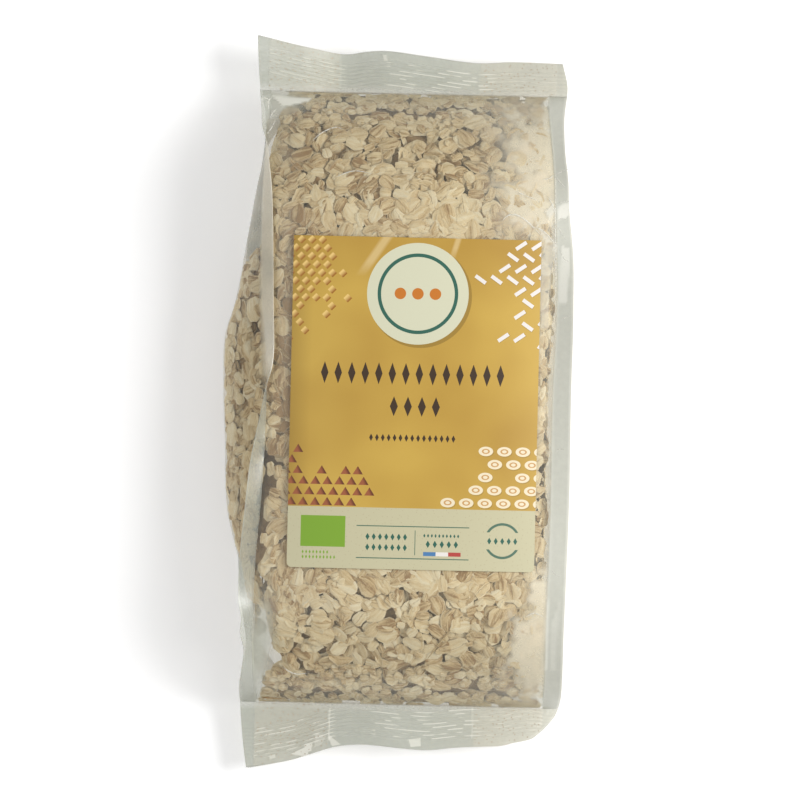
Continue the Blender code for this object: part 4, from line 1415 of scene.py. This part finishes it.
def makeCreases():  # each crease is a low ridge that tapers to both ends
    s, points, faces = creaseShape, [], []
    t = np.linspace(0.0, 1.0, s["stations"])
    taper = (1 - np.abs(2 * t - 1) ** 2.5) + s["tip"]
    for half, *places in creaseLines:
        knots = np.linspace(0.0, 1.0, len(places))
        x, y = [alongCurve(list(zip(knots, values)), t) for values in zip(*places)]
        aheadX, aheadY = np.gradient(x), np.gradient(y)
        length = np.hypot(aheadX, aheadY)
        sideways = np.stack([aheadY / length, -aheadX / length, 0 * t], -1) * (half * taper)[:, None]
        middle = np.stack([x, y, creaseZ(x, y)], -1)
        up, down = np.array([0, 0, 1.0]) * (s["height"] * taper)[:, None], np.array([0, 0, -s["foot"]])
        ring = np.stack([middle - sideways, middle + down, middle + sideways, middle + up], axis=1)
        faces += tubeFaces(s["stations"], 4, 4 * s["stations"] * len(points))
        points.append(ring.reshape(-1, 3))
    return meshFrom("film_creases", np.concatenate(points) + toRow, faces, creaseMaterial(), smooth=False)


straw = {
    "from": (11.6, -103.8),
    "to": (22.8, -89.3),
    "bow": 0.5,
    "under": 0.65,
    "radius": 0.33,
    "stations": 12,
    "sides": 6,
    "tint": colour(226, 206, 156),
}


def strawMaterial():
    paint = Paint("dry_straw")
    tint = paint.mix(paint.noise(paint.place(), 1.2, 2.0), straw["tint"], oatLook["brown"])
    return paint.finish(paint.surface(tint, 0.6))


def makeStraw():  # one bristle among the flakes, a tube that thins to both ends
    t = np.linspace(0.0, 1.0, straw["stations"])[:, None]
    turn = np.linspace(0.0, 2 * math.pi, straw["sides"], endpoint=False)[None, :]
    (x0, y0), (x1, y1) = straw["from"], straw["to"]
    x, y = x0 + (x1 - x0) * t, y0 + (y1 - y0) * t + straw["bow"] * np.sin(math.pi * t)
    radius = straw["radius"] * (1 - 0.85 * np.abs(2 * t - 1) ** 2.5)
    aside = radius * np.cos(turn) / math.hypot(x1 - x0, y1 - y0)
    z = frontZ(x, y) - straw["under"] + radius * np.sin(turn)
    points = pointRows(x + aside * (y1 - y0), y - aside * (x1 - x0), z)
    return meshFrom("straw", points + toRow, tubeFaces(straw["stations"], straw["sides"]), strawMaterial())


dustSheet, creases, strawPiece = makeDust(), makeCreases(), makeStraw()
print("dust, creases and straw made")

for piece in (filmBody, *flaps, core, *oatPieces, dustSheet, creases, strawPiece):
    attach(piece, "root")
    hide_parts("bag")
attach(label, "root")
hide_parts("front_label")

# Floor, light and camera
def makeFloor():
    paint = Paint("pale_floor")
    glow = {"Emission Color": (1.0, 1.0, 1.0, 1.0), "Emission Strength": 0.3}
    material = paint.finish(paint.surface((0.93, 0.93, 0.93, 1.0), 0.85, glow))
    half, under = 3000.0, -0.3
    corners = [(-half, -half, under), (half, -half, under), (half, half, under), (-half, half, under)]
    meshFrom("floor", corners, [(0, 1, 2, 3)], material, smooth=False)


def makeLight(name, place, target, size, power):
    data = bpy.data.lights.new(name, "AREA")
    data.shape, data.size, data.energy = "DISK", size, power
    lamp = bpy.data.objects.new(name, data)
    bpy.context.scene.collection.objects.link(lamp)
    lamp.location = place
    lamp.rotation_euler = (Vector(target) - Vector(place)).to_track_quat("-Z", "Y").to_euler()


cameraPlace = {
    "distance": 8.0,  # metres over the bag: nearly no perspective, as in the photo
    "field": 0.320,  # metres across the picture, at the aim
    "aim": (0.0012, 0.0018, 0.035),
    "lean": 1.3,  # degrees that the bag leans to the right in the picture
}


def makeCamera():
    c = cameraPlace
    data = bpy.data.cameras.new("camera")
    data.sensor_width = 36.0
    data.lens = 36.0 * c["distance"] / c["field"]
    data.clip_end = 20.0
    camera = bpy.data.objects.new("camera", data)
    bpy.context.scene.collection.objects.link(camera)
    camera.location = (c["aim"][0], c["aim"][1], c["aim"][2] + c["distance"])
    camera.rotation_euler = (0.0, 0.0, math.radians(c["lean"]))
    bpy.context.scene.camera = camera


makeFloor()
makeLight("key", (1.6, 0.2, 1.4), (0, 0, 0.02), 1.1, 36.5)
makeLight("fill", (-1.1, -0.5, 1.6), (0, 0, 0.02), 2.0, 9.0)
world = bpy.data.worlds.new("studio")
bpy.context.scene.world = world
world.use_nodes = True
world.node_tree.nodes["Background"].inputs["Color"].default_value = (1.0, 1.0, 1.0, 1.0)
world.node_tree.nodes["Background"].inputs["Strength"].default_value = 0.36
bpy.context.scene.view_settings.view_transform = "Standard"
makeCamera()
